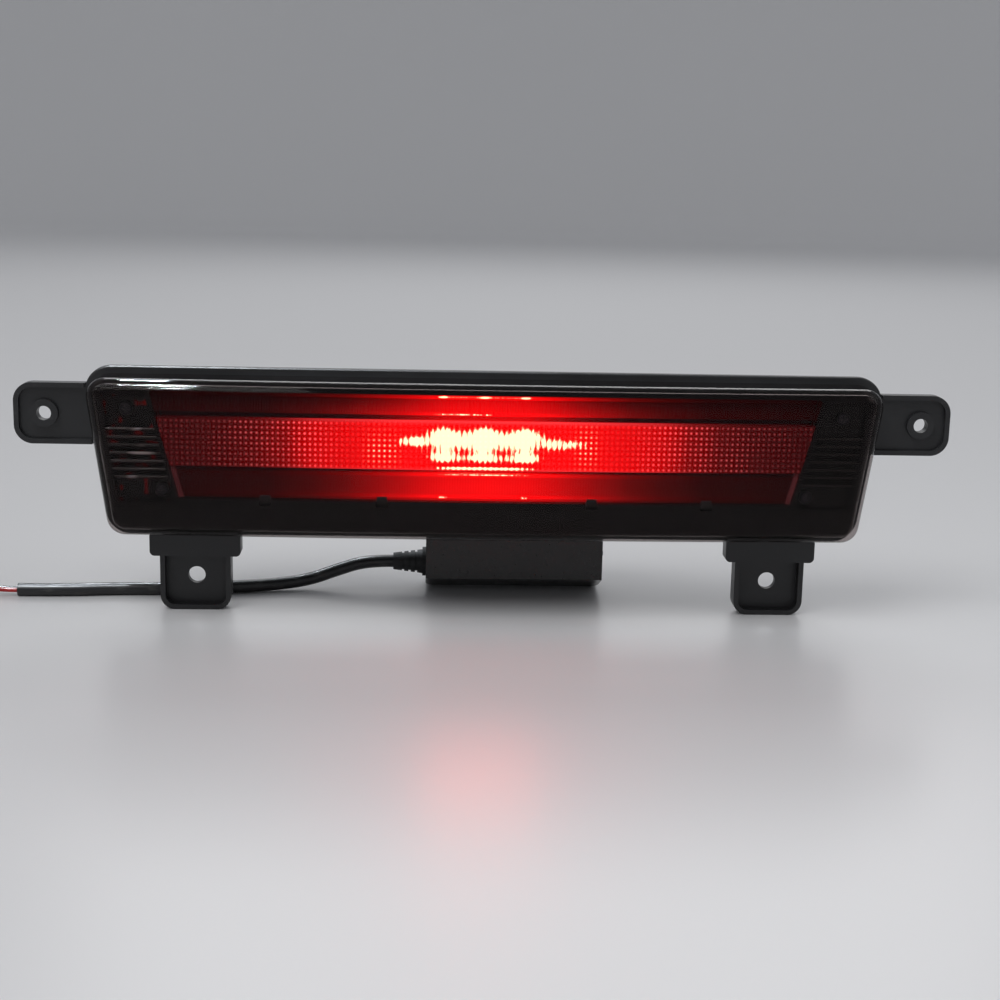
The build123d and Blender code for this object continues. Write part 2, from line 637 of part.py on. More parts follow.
def driver_socket():
    """The socket on the driver board that takes the two inner leads."""
    x, z, front = HEADER_X, WIRE_HOLE_HEIGHT, DRIVER_BOARD_FRONT
    shell = block(x - 4.2, x + 4.2, front - 7.0, front, z - 3.0, z + 3.0)
    for side in (-1, 1):
        shell -= post(x + side * 1.5, z, front - 8.0, front - 5.0, INNER_LEAD_DIAMETER / 2)
    return shell


def driver_inductor():
    x, z, front = 20.0, 24.0, DRIVER_BOARD_FRONT
    core = post(x, z, front - 8.0, front, 6.5) - post(x, z, front - 8.0, front - 0.8, 2.2)
    return fillet(core.faces().sort_by(Axis.Y)[0].edges(), 0.8)


def driver_capacitor():
    x, z, front = 3.5, 31.0, DRIVER_BOARD_FRONT
    can = post(x, z, front - 10.0, front, 4.0)
    return fillet(can.faces().sort_by(Axis.Y)[0].edges(), 0.7)


def driver_chip():
    """The switching regulator with its eight legs."""
    x, z, front = 6.0, 46.0, DRIVER_BOARD_FRONT
    shape = block(x - 2.5, x + 2.5, front - 1.6, front - 0.2, z - 2.0, z + 2.0)
    for i in range(4):
        leg_x = x - 1.9 + i * 1.27
        for side in (-1, 1):
            z0 = z + side * 2.5
            shape += block(leg_x - 0.25, leg_x + 0.25, front - 0.6, front, z0 - 0.6, z0 + 0.6)
    return shape


# ---------------------------------------------------------------- pigtail cable and its plug
def cable_grommet():
    """The rubber gland in the case's left wall: a flanged neck that tapers along the cable."""
    x, y, z = CABLE_EXIT
    wall, flange = CASE_LEFT, 1.5
    middle = Pos((wall - flange + x) / 2, y, z) * Rot(0, -90, 0)
    neck = middle * Cone(GROMMET_RADIUS, 3.6, wall - flange - x)
    collar = Pos(wall - flange / 2, y, z) * Rot(0, 90, 0) * Cylinder(6.2, flange)
    throat = Pos(wall + CASE_WALL / 2, y, z) * Rot(0, 90, 0) * Cylinder(CABLE_HOLE_RADIUS - 0.03, CASE_WALL)
    keeper = Pos(wall + CASE_WALL + flange / 2, y, z) * Rot(0, 90, 0) * Cylinder(4.8, flange)
    shape = neck + collar + throat + keeper
    for i in range(3):
        groove = Pos(wall - 4.2 - 2.8 * i, y, z) * Rot(0, 90, 0)
        shape -= groove * (Cylinder(7.0, 1.0) - Cylinder(4.1 - 0.25 * i, 1.0))
    bore = Pos((x + TAIL_END) / 2, y, z) * Rot(0, 90, 0)
    return shape - bore * Cylinder(CABLE_DIAMETER / 2, TAIL_END - x)


def cable_tail():
    """The length of sheath inside the gland, from the gland's tip to inside the case."""
    x, y, z = CABLE_EXIT
    return Pos((x + TAIL_END) / 2, y, z) * Rot(0, 90, 0) * Cylinder(CABLE_DIAMETER / 2, TAIL_END - x)


def supply_lead(side):
    """One lead from the end of the sheath, laid on the driver board and soldered to its edge."""
    x, y, z = CABLE_EXIT
    lead_y = DRIVER_BOARD_FRONT - LEAD_DIAMETER / 2
    place = Pos(TAIL_END + 4.0, lead_y, z + side * LEAD_GAP / 2) * Rot(0, 90, 0)
    return place * Cylinder(LEAD_DIAMETER / 2, 8.0)


def pigtail_cable():
    path, radii = rounded_route(CABLE_ROUTE)
    shape = tube(path, CABLE_DIAMETER)
    area = pi * CABLE_DIAMETER**2 / 4
    print("pigtail length", round(path.length, 1), "smallest radius", round(min(radii), 1))
    print("pigtail volume / section times length", round(shape.volume / (area * path.length), 4))
    return shape


def lead(side):
    """One bare lead from the end of the cable's sheath to the back of the plug."""
    x, y, z = CABLE_ROUTE[-1]
    start = y + side * LEAD_GAP / 2
    end = PLUG_Y + side * TERMINAL_PITCH / 2
    points = [
        (x, start, z),
        (x - 6.0, start, z),
        (PLUG_REAR + 6.0, end, LEAD_ENTRY),
        (PLUG_REAR, end, LEAD_ENTRY),
    ]
    return tube(FilletPolyline(*points, radius=9.0), LEAD_DIAMETER)


def plug_body():
    """A two-way plug lying on the floor, its mouth towards -X."""
    x0, x1 = PLUG_REAR - PLUG_LENGTH, PLUG_REAR
    y0, y1 = PLUG_Y - PLUG_WIDTH / 2, PLUG_Y + PLUG_WIDTH / 2
    shape = block(x0, x1, y0, y1, 0.0, PLUG_HEIGHT - 1.8)
    shape = fillet(shape.edges().filter_by(Axis.X), 1.0)
    collar = block(x1 - 7.0, x1 - 4.0, y0 - 0.8, y1 + 0.8, 0.0, PLUG_HEIGHT - 0.8)
    shape += fillet(collar.edges().filter_by(Axis.X), 1.2)
    for side in (-1, 1):
        y = PLUG_Y + side * TERMINAL_PITCH / 2
        shape -= block(x0 - 1.0, x0 + 6.0, y - 1.1, y + 1.1, LEAD_ENTRY - 0.7, LEAD_ENTRY + 0.7)
        bore = Pos(x1 - 2.0, y, LEAD_ENTRY) * Rot(0, 90, 0) * Cylinder(SEAL_RADIUS, 4.0)
        shape -= bore
        rail_y = PLUG_Y + side * 4.6
        shape += block(x0, x1 - 7.0, rail_y - 0.6, rail_y + 0.6, PLUG_HEIGHT - 2.0, PLUG_HEIGHT - 0.6)
    for side in (-1, 1):
        ear_y = PLUG_Y + side * 3.3
        ear = block(x0 + 2.4, x0 + 5.6, ear_y - 0.7, ear_y + 0.7, PLUG_HEIGHT - 2.0, LATCH_AXIS[1] + 1.2)
        shape += ear
    return shape - terminal_lock_room()


def plug_latch():
    """The release latch: a lever on a round pivot, with a thumb pad at its rear end."""
    x, z = LATCH_AXIS
    barrel = Pos(x, PLUG_Y, z) * Rot(90, 0, 0) * Cylinder(1.2, 2 * LATCH_HALF)
    y0, y1 = PLUG_Y - LATCH_HALF, PLUG_Y + LATCH_HALF
    arm = block(x, x + LATCH_LENGTH, y0, y1, z - 0.5, z + 0.8)
    pad = block(x + LATCH_LENGTH - 4.5, x + LATCH_LENGTH, y0, y1, z + 0.3, z + 1.9)
    pad = chamfer(pad.edges().filter_by(Axis.Y).group_by(Axis.Z)[-1], 0.7)
    window = block(x + 3.0, x + 8.0, PLUG_Y - 1.2, PLUG_Y + 1.2, z - 2.0, z + 2.0)
    return barrel + arm + pad - window


def terminal_lock_room(gap=0.12):
    """The opening in the plug that the lock slides in, gap wider than the lock on every side."""
    x0, x1, z0, z1 = LOCK_BOX
    y0, y1 = PLUG_Y - PLUG_WIDTH, PLUG_Y - LOCK_INNER + 3 * gap
    return block(x0 - gap, x1 + gap, y0, y1, z0 - gap, z1 + gap)


def terminal_lock():
    """The secondary lock: a small slide that pushes in from the side of the plug."""
    x0, x1, z0, z1 = LOCK_BOX
    side = PLUG_Y - PLUG_WIDTH / 2
    slide = block(x0, x1, side - 0.6, PLUG_Y - LOCK_INNER, z0, z1)
    grip = block(x0 + 1.4, x1 - 1.4, side - 0.7, side, z0 + 1.4, z1 - 1.4)
    return slide - grip


def plug_seals():
    """The two ribbed silicone seals where the leads enter the plug."""
    seals = []
    for side in (-1, 1):
        y = PLUG_Y + side * TERMINAL_PITCH / 2
        body = Pos(PLUG_REAR - 2.0, y, LEAD_ENTRY) * Rot(0, 90, 0) * Cylinder(SEAL_RADIUS, 4.0)
        for x in (PLUG_REAR - 2.8, PLUG_REAR - 1.2):
            ring = Pos(x, y, LEAD_ENTRY) * Rot(0, 90, 0)
            body -= ring * (Cylinder(SEAL_RADIUS + 1.0, 0.7) - Cylinder(SEAL_RADIUS - 0.4, 0.7))
        seals.append(body)
    return seals


def plug_terminals():
    """The two tinned contacts behind the plug's mouth."""
    x0 = PLUG_REAR - PLUG_LENGTH
    contacts = []
    for side in (-1, 1):
        y = PLUG_Y + side * TERMINAL_PITCH / 2
        shell = block(x0 + 1.2, x0 + 6.0, y - 1.1, y + 1.1, LEAD_ENTRY - 0.7, LEAD_ENTRY + 0.7)
        slot = block(x0 + 1.0, x0 + 5.0, y - 0.7, y + 0.7, LEAD_ENTRY - 0.3, LEAD_ENTRY + 0.3)
        contacts.append(shell - slot)
    return contacts


# ---------------------------------------------------------------- assembly
def assembly():
    nodes = {
        "rear_housing": rear_housing(),
        "outer_cover": outer_cover(),
        "cover_seal": cover_seal(),
        "mounting_gasket": mounting_gasket(),
        "vent_plug": vent_plug(),
        "front_bezel": front_bezel(),
        "red_lens": red_lens(),
        "lens_clips": lens_clips(),
        "reflector": reflector(),
        "optic_screws": optic_screws(),
        "led_board": led_board(),
        "board_resistors": board_resistors(),
        "board_diode": board_diode(),
        "board_header": board_header(),
        "board_screws": board_screws(),
        "heat_sink": heat_sink(),
        "inner_lead_positive": inner_lead(-1),
        "inner_lead_negative": inner_lead(1),
        "wire_bush": wire_bush(),
        "driver_case": driver_case(),
        "case_lid": case_lid(),
        "case_seal": case_seal(),
        "lid_screws": lid_screws(),
        "case_screws": case_screws(),
        "driver_board": driver_board(),
        "driver_supports": driver_supports(),
        "driver_socket": driver_socket(),
        "driver_inductor": driver_inductor(),
        "driver_capacitor": driver_capacitor(),
        "driver_chip": driver_chip(),
        "cable_grommet": cable_grommet(),
        "cable_tail": cable_tail(),
        "supply_lead_positive": supply_lead(1),
        "supply_lead_negative": supply_lead(-1),
        "pigtail_cable": pigtail_cable(),
        "lead_positive": lead(-1),
        "lead_negative": lead(1),
        "plug_body": plug_body(),
        "plug_seals": plug_seals(),
        "plug_terminals": plug_terminals(),
        "plug_latch": plug_latch(),
        "terminal_lock": terminal_lock(),
    }
    for name, x in LED_X.items():
        nodes[f"brake_led_{name}"] = brake_led(x)
    return nodes


def solids_of(shape):
    shapes = shape if isinstance(shape, list) else [shape]
    return [solid for one in shapes for solid in one.solids()]


os.makedirs("parts", exist_ok=True)
for node, shape in assembly().items():
    solids = solids_of(shape)
    export_step(solids[0] if len(solids) == 1 else Compound(children=solids), f"parts/{node}.step")
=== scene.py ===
"""The looks of the third brake light: lit, standing on a pale studio floor. All lengths are in metres."""

from math import ceil, cos, pi, radians, sin, sqrt, tan

import bmesh
import bpy
from mathutils import Matrix, Vector


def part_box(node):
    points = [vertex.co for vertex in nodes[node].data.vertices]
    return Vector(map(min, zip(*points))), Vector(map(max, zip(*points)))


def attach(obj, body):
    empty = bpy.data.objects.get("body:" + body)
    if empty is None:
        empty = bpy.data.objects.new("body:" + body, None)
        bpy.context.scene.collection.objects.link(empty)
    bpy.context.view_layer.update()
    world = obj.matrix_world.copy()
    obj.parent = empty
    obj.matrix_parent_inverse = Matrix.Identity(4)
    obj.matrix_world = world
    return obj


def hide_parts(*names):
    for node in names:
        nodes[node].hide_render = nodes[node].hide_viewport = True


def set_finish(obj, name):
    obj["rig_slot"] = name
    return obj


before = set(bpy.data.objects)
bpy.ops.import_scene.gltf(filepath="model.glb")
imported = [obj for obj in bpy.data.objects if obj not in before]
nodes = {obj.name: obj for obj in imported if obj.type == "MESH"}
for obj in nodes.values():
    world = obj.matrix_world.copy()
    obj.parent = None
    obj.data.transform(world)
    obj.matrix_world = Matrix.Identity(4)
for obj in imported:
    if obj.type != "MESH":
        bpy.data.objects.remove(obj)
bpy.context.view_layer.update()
scene = bpy.context.scene

MM = 0.001

# ---------------------------------------------------------------- the camera
VIEW_AZIMUTH = radians(-2.6)
VIEW_ELEVATION = radians(12.0)
VIEW_ROLL = radians(1.268)  # the camera was held slightly tilted
VIEW_DISTANCE = 0.700
FOCAL_LENGTH = 61.5
AIM_OFFSET = Vector((6.0, 8.0, -3.2)) * MM  # from the middle of the housing's front edge


def make_camera():
    low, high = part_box("rear_housing")
    aim = Vector((0, low.y, (low.z + high.z) / 2)) + AIM_OFFSET
    back = Vector((
        sin(VIEW_AZIMUTH) * cos(VIEW_ELEVATION),
        -cos(VIEW_AZIMUTH) * cos(VIEW_ELEVATION),
        sin(VIEW_ELEVATION),
    ))
    right = (-back).cross(Vector((0, 0, 1))).normalized()
    up = right.cross(-back)
    across = right * cos(VIEW_ROLL) + up * sin(VIEW_ROLL)
    above = up * cos(VIEW_ROLL) - right * sin(VIEW_ROLL)
    camera = bpy.data.objects.new("camera", bpy.data.cameras.new("camera"))
    camera.data.lens = FOCAL_LENGTH
    camera.data.clip_start = 0.01
    turn = Matrix((across, above, back)).transposed()
    camera.matrix_world = Matrix.Translation(aim + back * VIEW_DISTANCE) @ turn.to_4x4()
    scene.collection.objects.link(camera)
    scene.camera = camera


# ---------------------------------------------------------------- materials
class Finish:
    """One node material that ends in a Principled shader."""

    def __init__(self, name, **sockets):
        self.material = bpy.data.materials.new(name)
        self.material.use_nodes = True
        self.tree = self.material.node_tree
        self.shader = self.tree.nodes["Principled BSDF"]
        self.output = self.tree.nodes["Material Output"]
        self.place = self.node("ShaderNodeTexCoord").outputs["Object"]
        for socket, value in sockets.items():
            self.shader.inputs[socket.replace("_", " ").title()].default_value = value

    def node(self, kind, **settings):
        made = self.tree.nodes.new(kind)
        for key, value in settings.items():
            setattr(made, key, value)
        return made

    def link(self, source, target):
        self.tree.links.new(source, target)

    def feed(self, source, socket):
        self.link(source, self.shader.inputs[socket])

    def axes(self):
        """The place on the object, as X, Y and Z."""
        apart = self.node("ShaderNodeSeparateXYZ")
        self.link(self.place, apart.inputs[0])
        return apart.outputs

    def math(self, operation, first, second=0.0, third=0.0):
        made = self.node("ShaderNodeMath", operation=operation)
        for socket, value in zip(made.inputs, (first, second, third)):
            if isinstance(value, (int, float)):
                socket.default_value = value
            else:
                self.link(value, socket)
        return made.outputs[0]

    def add(self, *values):
        total = values[0]
        for value in values[1:]:
            total = self.math("ADD", total, value)
        return total

    def times(self, *values):
        product = values[0]
        for value in values[1:]:
            product = self.math("MULTIPLY", product, value)
        return product

    def noise(self, size, detail=3.0, stretch=(1, 1, 1)):
        """Noise whose features are about size metres across, stretched along an axis."""
        mapping = self.node("ShaderNodeMapping")
        mapping.inputs["Scale"].default_value = [1 / (size * s) for s in stretch]
        self.link(self.place, mapping.inputs["Vector"])
        made = self.node("ShaderNodeTexNoise")
        made.inputs["Scale"].default_value = 1.0
        made.inputs["Detail"].default_value = detail
        self.link(mapping.outputs[0], made.inputs["Vector"])
        return made.outputs["Fac"]

    def cells(self, size, feature="F1", randomness=1.0):
        made = self.node("ShaderNodeTexVoronoi", feature=feature)
        made.inputs["Scale"].default_value = 1 / size
        made.inputs["Randomness"].default_value = randomness
        self.link(self.place, made.inputs["Vector"])
        return made.outputs["Distance"]

    def curve(self, source, stops, most=1.0):
        """A number, up to most, for each value of source; stops are (place, number)."""
        made = self.node("ShaderNodeValToRGB")
        points = made.color_ramp.elements
        while len(points) < len(stops):
            points.new(1.0)
        for point, (at, value) in zip(points, stops):
            point.position = at
            point.color = (value / most, value / most, value / most, 1)
        self.link(source, made.inputs["Fac"])
        return self.times(made.outputs["Color"], most)

    def spread(self, source, low, high, to_low=0.0, to_high=1.0):
        made = self.node("ShaderNodeMapRange")
        for socket, value in zip(list(made.inputs)[1:5], (low, high, to_low, to_high)):
            socket.default_value = value
        self.link(source, made.inputs["Value"])
        return made.outputs["Result"]

    def mix(self, share, first, second):
        """From the first colour to the second; a colour is a tuple or another node's."""
        made = self.node("ShaderNodeMix", data_type="RGBA")
        self.link(share, made.inputs[0])
        for socket, value in ((made.inputs[6], first), (made.inputs[7], second)):
            if isinstance(value, tuple):
                socket.default_value = (*value, 1)
            else:
                self.link(value, socket)
        return made.outputs[2]

    def bump(self, height, depth):
        """Relief depth metres deep."""
        made = self.node("ShaderNodeBump")
        made.inputs["Distance"].default_value = depth
        self.link(height, made.inputs["Height"])
        return made.outputs["Normal"]


DUST = (0.32, 0.31, 0.29)
FLOW_MARKS = 0.25  # how far a moulding's gloss strays from its mean
EDGE_TINT = 0.45  # how much darker a clear shell is where it is seen along its wall


def dimmed(colour, share):
    return tuple(c * share for c in colour)


def moulded(name, colour, roughness, grain=0.35 * MM, depth=0.012 * MM, dust=0.05):
    """Moulded plastic: a fine eroded grain, slow changes of gloss where it flowed, and a little dust."""
    finish = Finish(name)
    clouds = finish.noise(22 * MM, 3.0, (2.2, 1, 1))
    fine = finish.noise(grain, 2.0)
    specks = finish.spread(finish.noise(1.1 * MM, 4.0), 0.62, 0.72)
    base = finish.mix(clouds, dimmed(colour, 0.82), dimmed(colour, 1.22))
    finish.feed(finish.mix(finish.times(specks, dust), base, DUST), "Base Color")
    rough = finish.spread(clouds, 0.3, 0.7, roughness * (1 - FLOW_MARKS), roughness * (1 + FLOW_MARKS))
    finish.feed(finish.add(rough, finish.times(specks, 0.25)), "Roughness")
    finish.feed(finish.bump(fine, depth), "Normal")
    return finish.material


def rubber(name, colour, roughness=0.62):
    """Moulded rubber: a dull bloom in patches over a very fine tooth."""
    finish = Finish(name)
    bloom = finish.spread(finish.noise(5 * MM, 4.0), 0.42, 0.7)
    finish.feed(finish.mix(bloom, colour, tuple(c * 1.5 + 0.012 for c in colour)), "Base Color")
    finish.feed(finish.spread(bloom, 0, 1, roughness, roughness + 0.2), "Roughness")
    finish.feed(finish.bump(finish.noise(0.22 * MM, 3.0), 0.02 * MM), "Normal")
    return finish.material


def foam(name, colour):
    """Closed-cell foam: open pores on its cut faces, with painted shade darkening them."""
    finish = Finish(name, roughness=0.9)
    pores = finish.spread(finish.cells(0.55 * MM), 0.15, 0.5)
    large = finish.spread(finish.cells(1.7 * MM), 0.08, 0.3)
    height = finish.times(pores, large)
    # painted shade: the pores are darker than the cell walls between them
    finish.feed(finish.mix(height, dimmed(colour, 0.3), dimmed(colour, 1.3)), "Base Color")
    finish.feed(finish.bump(height, 0.18 * MM), "Normal")
    return finish.material


def metal(name, colour, roughness, brushed, scratches=0.004 * MM, tarnish=0.2):
    """Bare or plated metal: fine lines one way, and slow changes of tone."""
    finish = Finish(name, metallic=1.0)
    lines = finish.noise(0.12 * MM, 3.0, brushed)
    tone = finish.noise(3.5 * MM, 4.0)
    finish.feed(finish.mix(tone, dimmed(colour, 1 - tarnish), colour), "Base Color")
    finish.feed(finish.spread(lines, 0.3, 0.7, roughness * 0.7, roughness * 1.4), "Roughness")
    finish.feed(finish.bump(lines, scratches), "Normal")
    return finish.material


def circuit_board(name, mask, track):
    """Solder mask over copper: the tracks show through it as a lighter, raised pattern."""
    finish = Finish(name, roughness=0.32, coat_weight=0.4, coat_roughness=0.15)
    tracks = finish.cells(4.5 * MM, "DISTANCE_TO_EDGE", 0.35)
    edge = finish.spread(tracks, 0.05, 0.075)
    weave = finish.noise(0.4 * MM, 1.0, (1, 1, 0.5))
    base = finish.mix(edge, track, mask)
    finish.feed(finish.mix(finish.times(weave, 0.25), base, dimmed(mask, 0.6)), "Base Color")
    finish.feed(finish.bump(finish.math("SUBTRACT", 1.0, edge), 0.035 * MM), "Normal")
    return finish.material


def see_through(name, tint, gloss_roughness, facing_gloss):
    """A clear shell: tinted where it is seen through, darker through its edges, glossy at a glance."""
    finish = Finish(name, metallic=1.0, base_color=(1, 1, 1, 1))
    rough = finish.spread(finish.noise(30 * MM, 3.0), 0.3, 0.7, gloss_roughness * 0.6, gloss_roughness * 1.5)
    finish.feed(rough, "Roughness")
    finish.feed(finish.bump(finish.noise(45 * MM, 1.0, (2, 1, 0.7)), 0.012 * MM), "Normal")
    glance = finish.node("ShaderNodeLayerWeight")
    glance.inputs["Blend"].default_value = 0.5
    slope = glance.outputs["Facing"]
    mirror = finish.math("POWER", slope, 5.0)
    mirror = finish.math("MULTIPLY_ADD", mirror, 1 - facing_gloss, facing_gloss)
    clear = finish.node("ShaderNodeBsdfTransparent")
    through = finish.mix(finish.math("POWER", slope, 2.0), tint, dimmed(tint, EDGE_TINT))
    finish.link(through, clear.inputs["Color"])
    both = finish.node("ShaderNodeMixShader")
    finish.link(mirror, both.inputs[0])
    finish.link(clear.outputs[0], both.inputs[1])
    finish.link(finish.shader.outputs[0], both.inputs[2])
    finish.link(both.outputs[0], finish.output.inputs["Surface"])
    return finish.material


# ---------------------------------------------------------------- sizes that several pieces share
BODY_HALF_TOP, BODY_HALF_BOTTOM = 163.0 * MM, 153.0 * MM
BODY_TOP, BODY_BOTTOM = 99.3 * MM, 30.4 * MM
BODY_SLOPE = (BODY_HALF_TOP - BODY_HALF_BOTTOM) / (BODY_TOP - BODY_BOTTOM)
BOW_RADIUS = 3.750


def bow(x):
    """How far the bowed front has fallen back at x."""
    return BOW_RADIUS - sqrt(BOW_RADIUS**2 - x * x)


# ---------------------------------------------------------------- the red lens, lit from behind
lens_low, lens_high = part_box("red_lens")
LENS_RIM = 1.1 * MM  # hidden under the bezel, all round
LENS_TOP = 91.8 * MM
LENS_BOTTOM = lens_low.z + LENS_RIM
LENS_HALF_TOP = 133.7 * MM
LENS_HALF_BOTTOM = 122.4 * MM
BAND_TOP = 81.3 * MM
BAND_BOTTOM = 62.0 * MM
GROOVE_UPPER = 2.5 * MM
GROOVE_LOWER = 1.8 * MM
LIP = 1.5 * MM
PILLOW_ROWS = 9
PILLOW_HEIGHT = 0.42 * MM
PILLOW_PITCH_Z = (BAND_TOP - BAND_BOTTOM) / PILLOW_ROWS
PILLOW_PITCH_X = 2.1 * MM
PILLOW_STEPS = 6
FLUTE_HEIGHT = 0.20 * MM
LENS_WALL = 3.0 * MM
END_FLANGE = 2.0 * MM  # a raised strip down each slanting end of the plainer bands
END_STEP = 0.2 * MM
END_SLOPE = (LENS_HALF_TOP - LENS_HALF_BOTTOM) / (LENS_TOP - LENS_BOTTOM)
SHARP_EDGE = radians(38)
LIGHT_HEIGHT = (BAND_TOP + BAND_BOTTOM) / 2
led_boxes = [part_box(f"brake_led_{side}") for side in ("left", "centre", "right")]
LED_X = [(low.x + high.x) / 2 for low, high in led_boxes]

RED = (1.0, 0.0008, 0.002)
PINK = (1.0, 0.22, 0.26)
WHITE_HOT = (1.0, 0.155, 0.095)  # red light so strong that it reads as white

GLOW_BAND = [  # brightness of the pillow band, from the middle outwards
    (0.0, 1.7), (0.2, 1.65), (0.33, 1.35), (0.45, 1.0), (0.52, 0.76), (0.60, 0.29), (0.69, 0.125),
    (0.78, 0.070), (0.88, 0.046), (1.0, 0.030),
]
GLOW_OUTER = [  # and of the plainer bands above and below it
    (0.0, 0.80), (0.12, 0.72), (0.19, 0.52), (0.26, 0.32), (0.33, 0.19), (0.42, 0.08), (0.52, 0.034),
    (0.65, 0.010), (1.0, 0.002),
]
UPWARDS_BY_LEDS = [  # share of that brightness from the lens's lower edge to its upper, by the LEDs
    (0.0, 0.5), (0.02, 0.8), (0.03, 1.6), (0.045, 1.6), (0.055, 1.1), (0.14, 1.15), (0.225, 1.0),
    (0.24, 1.9), (0.252, 1.9), (0.262, 0.7), (0.29, 0.8), (0.752, 0.9), (0.80, 0.7), (0.812, 1.9),
    (0.826, 1.9), (0.845, 1.15), (0.93, 0.9), (0.955, 0.7), (0.965, 1.7), (0.985, 1.5), (1.0, 0.6),
]
UPWARDS_AT_ENDS = [  # and far from them, where painted shade darkens the grooves
    (0.0, 0.7), (0.02, 1.2), (0.03, 2.0), (0.05, 2.0), (0.06, 1.3), (0.14, 1.3), (0.225, 1.1),
    (0.24, 1.9), (0.252, 1.7), (0.262, 0.08), (0.29, 0.08), (0.752, 0.05), (0.80, 0.06), (0.812, 1.9),
    (0.85, 1.5), (0.92, 0.7), (0.955, 0.35), (0.965, 1.5), (0.985, 1.2), (1.0, 0.4),
]
BY_EACH_LED = [  # how the optics draw each LED out: height over it, half width, half height, strength
    (4.9 * MM, 5.2 * MM, 3.4 * MM, 0.75),
    (-2.2 * MM, 3.8 * MM, 2.6 * MM, 0.45),
    (-4.8 * MM, 7.6 * MM, 2.0 * MM, 1.00),
    (19.35 * MM, 1.7 * MM, 0.55 * MM, 0.80),
]
ACROSS_THE_LEDS = [  # place along the lamp, height over the LEDs, half width, half height, strength
    (0.0, 2.2 * MM, 26.5 * MM, 4.4 * MM, 1.08),
    (0.0, -8.8 * MM, 22.0 * MM, 0.75 * MM, 1.10),
    (0.0, -11.7 * MM, 22.0 * MM, 0.42 * MM, 0.70),
    (0.0, 19.35 * MM, 24.0 * MM, 0.40 * MM, 0.56),
    (-8.0 * MM, 12.6 * MM, 15.0 * MM, 0.45 * MM, 0.68),
    (-29.0 * MM, 1.6 * MM, 6.0 * MM, 2.2 * MM, 0.80),
    (33.0 * MM, 1.2 * MM, 9.0 * MM, 2.4 * MM, 0.78),
    (-16.3 * MM, -21.0 * MM, 2.2 * MM, 0.50 * MM, 0.68),
    (16.3 * MM, -21.0 * MM, 1.8 * MM, 0.50 * MM, 0.64),
]
PALE_DOTS = [  # place, height over the LEDs and half sizes of the patches whose spots burn white
    (-40.5 * MM, -2.0 * MM, 6.8 * MM, 6.4 * MM),
    (40.8 * MM, 0.0 * MM, 4.6 * MM, 8.0 * MM),
]
LOBE_SHIFT = -1.5 * MM  # the optics throw the lobes a little to one side
ROUND, SQUARE = 2.0, 4.0  # how a lobe's shoulders fall away
BAND_RIM = 0.9 * MM
MOST = 2.0  # of any of the brightness curves
GLOW_STRENGTH = 1.7
BURN_STRENGTH = 12.0


def plain_bands(finish, z, out):
    """The glow of the plainer bands; out is 0 in the middle of the lens and 1 at its ends."""
    height = finish.spread(z, LENS_BOTTOM, LENS_TOP)
    by_leds = finish.curve(height, UPWARDS_BY_LEDS, MOST)
    # painted shade: far from the LEDs the grooves are darker
    at_ends = finish.curve(height, UPWARDS_AT_ENDS, MOST)
    leaving = finish.spread(out, 0.12, 0.42)
    upwards = finish.add(by_leds, finish.times(leaving, finish.math("SUBTRACT", at_ends, by_leds)))
    return finish.times(finish.curve(out, GLOW_OUTER), upwards)


def pillow_places(finish, x, z):
    """How far a point is from the middle of its pillow: sideways, and in all. At the rim it is 1."""
    half_x, half_z = PILLOW_PITCH_X / 2, PILLOW_PITCH_Z / 2
    across = finish.math("DIVIDE", finish.math("PINGPONG", x, half_x), half_x)
    across = finish.math("SUBTRACT", 1.0, across)
    rise = finish.math("PINGPONG", finish.math("SUBTRACT", z, BAND_BOTTOM), half_z)
    rise = finish.math("SUBTRACT", 1.0, finish.math("DIVIDE", rise, half_z))
    far = finish.math("SQRT", finish.add(finish.math("POWER", across, 2.0), finish.math("POWER", rise, 2.0)))
    return across, far


def lobe(finish, x, z, along, over, wide, tall, strength, shoulders):
    """A patch of light with soft edges, over the LEDs' height."""
    away_x = finish.math("DIVIDE", finish.math("SUBTRACT", x, along + LOBE_SHIFT), wide)
    away_z = finish.math("DIVIDE", finish.math("SUBTRACT", z, LIGHT_HEIGHT + over), tall)
    away_x = finish.math("POWER", finish.math("ABSOLUTE", away_x), shoulders)
    away = finish.add(away_x, finish.times(away_z, away_z))
    return finish.times(finish.math("EXPONENT", finish.times(away, -1.0)), strength)


def hot_places(finish, x, z, in_band, across, far):
    """1 where the light is so strong that red reads as white: ragged, and combed by the pillows."""
    heat = finish.add(
        *[lobe(finish, x, z, at, *spec, ROUND) for at in LED_X for spec in BY_EACH_LED],
        *[lobe(finish, x, z, *spec, SQUARE) for spec in ACROSS_THE_LEDS],
    )
    ragged = finish.spread(finish.noise(1.3 * MM, 2.0, (0.55, 1, 2.0)), 0.3, 0.7, -0.19, 0.19)
    comb = finish.times(finish.spread(across, 0, 1, 0.12, -0.28), in_band)
    heat = finish.add(heat, ragged, comb)
    dotted = finish.add(*[lobe(finish, x, z, *spec, 1.0, SQUARE) for spec in PALE_DOTS])
    dotted = finish.times(dotted, finish.spread(far, 0.30, 0.55, 1, 0), in_band, 0.75)
    return finish.math("MAXIMUM", finish.spread(heat, 0.46, 0.74), dotted)


def end_strips(finish, x, z):
    """1 on the raised strip down each slanting end, below the pillow band."""
    inwards = finish.math("MULTIPLY_ADD", z, END_SLOPE, LENS_HALF_TOP - END_SLOPE * LENS_TOP)
    inwards = finish.math("SUBTRACT", inwards, finish.math("ABSOLUTE", x))
    strip = finish.spread(inwards, END_FLANGE - END_STEP, END_FLANGE, 1, 0)
    return finish.times(strip, finish.spread(z, BAND_BOTTOM - GROOVE_LOWER, BAND_BOTTOM, 1, 0))


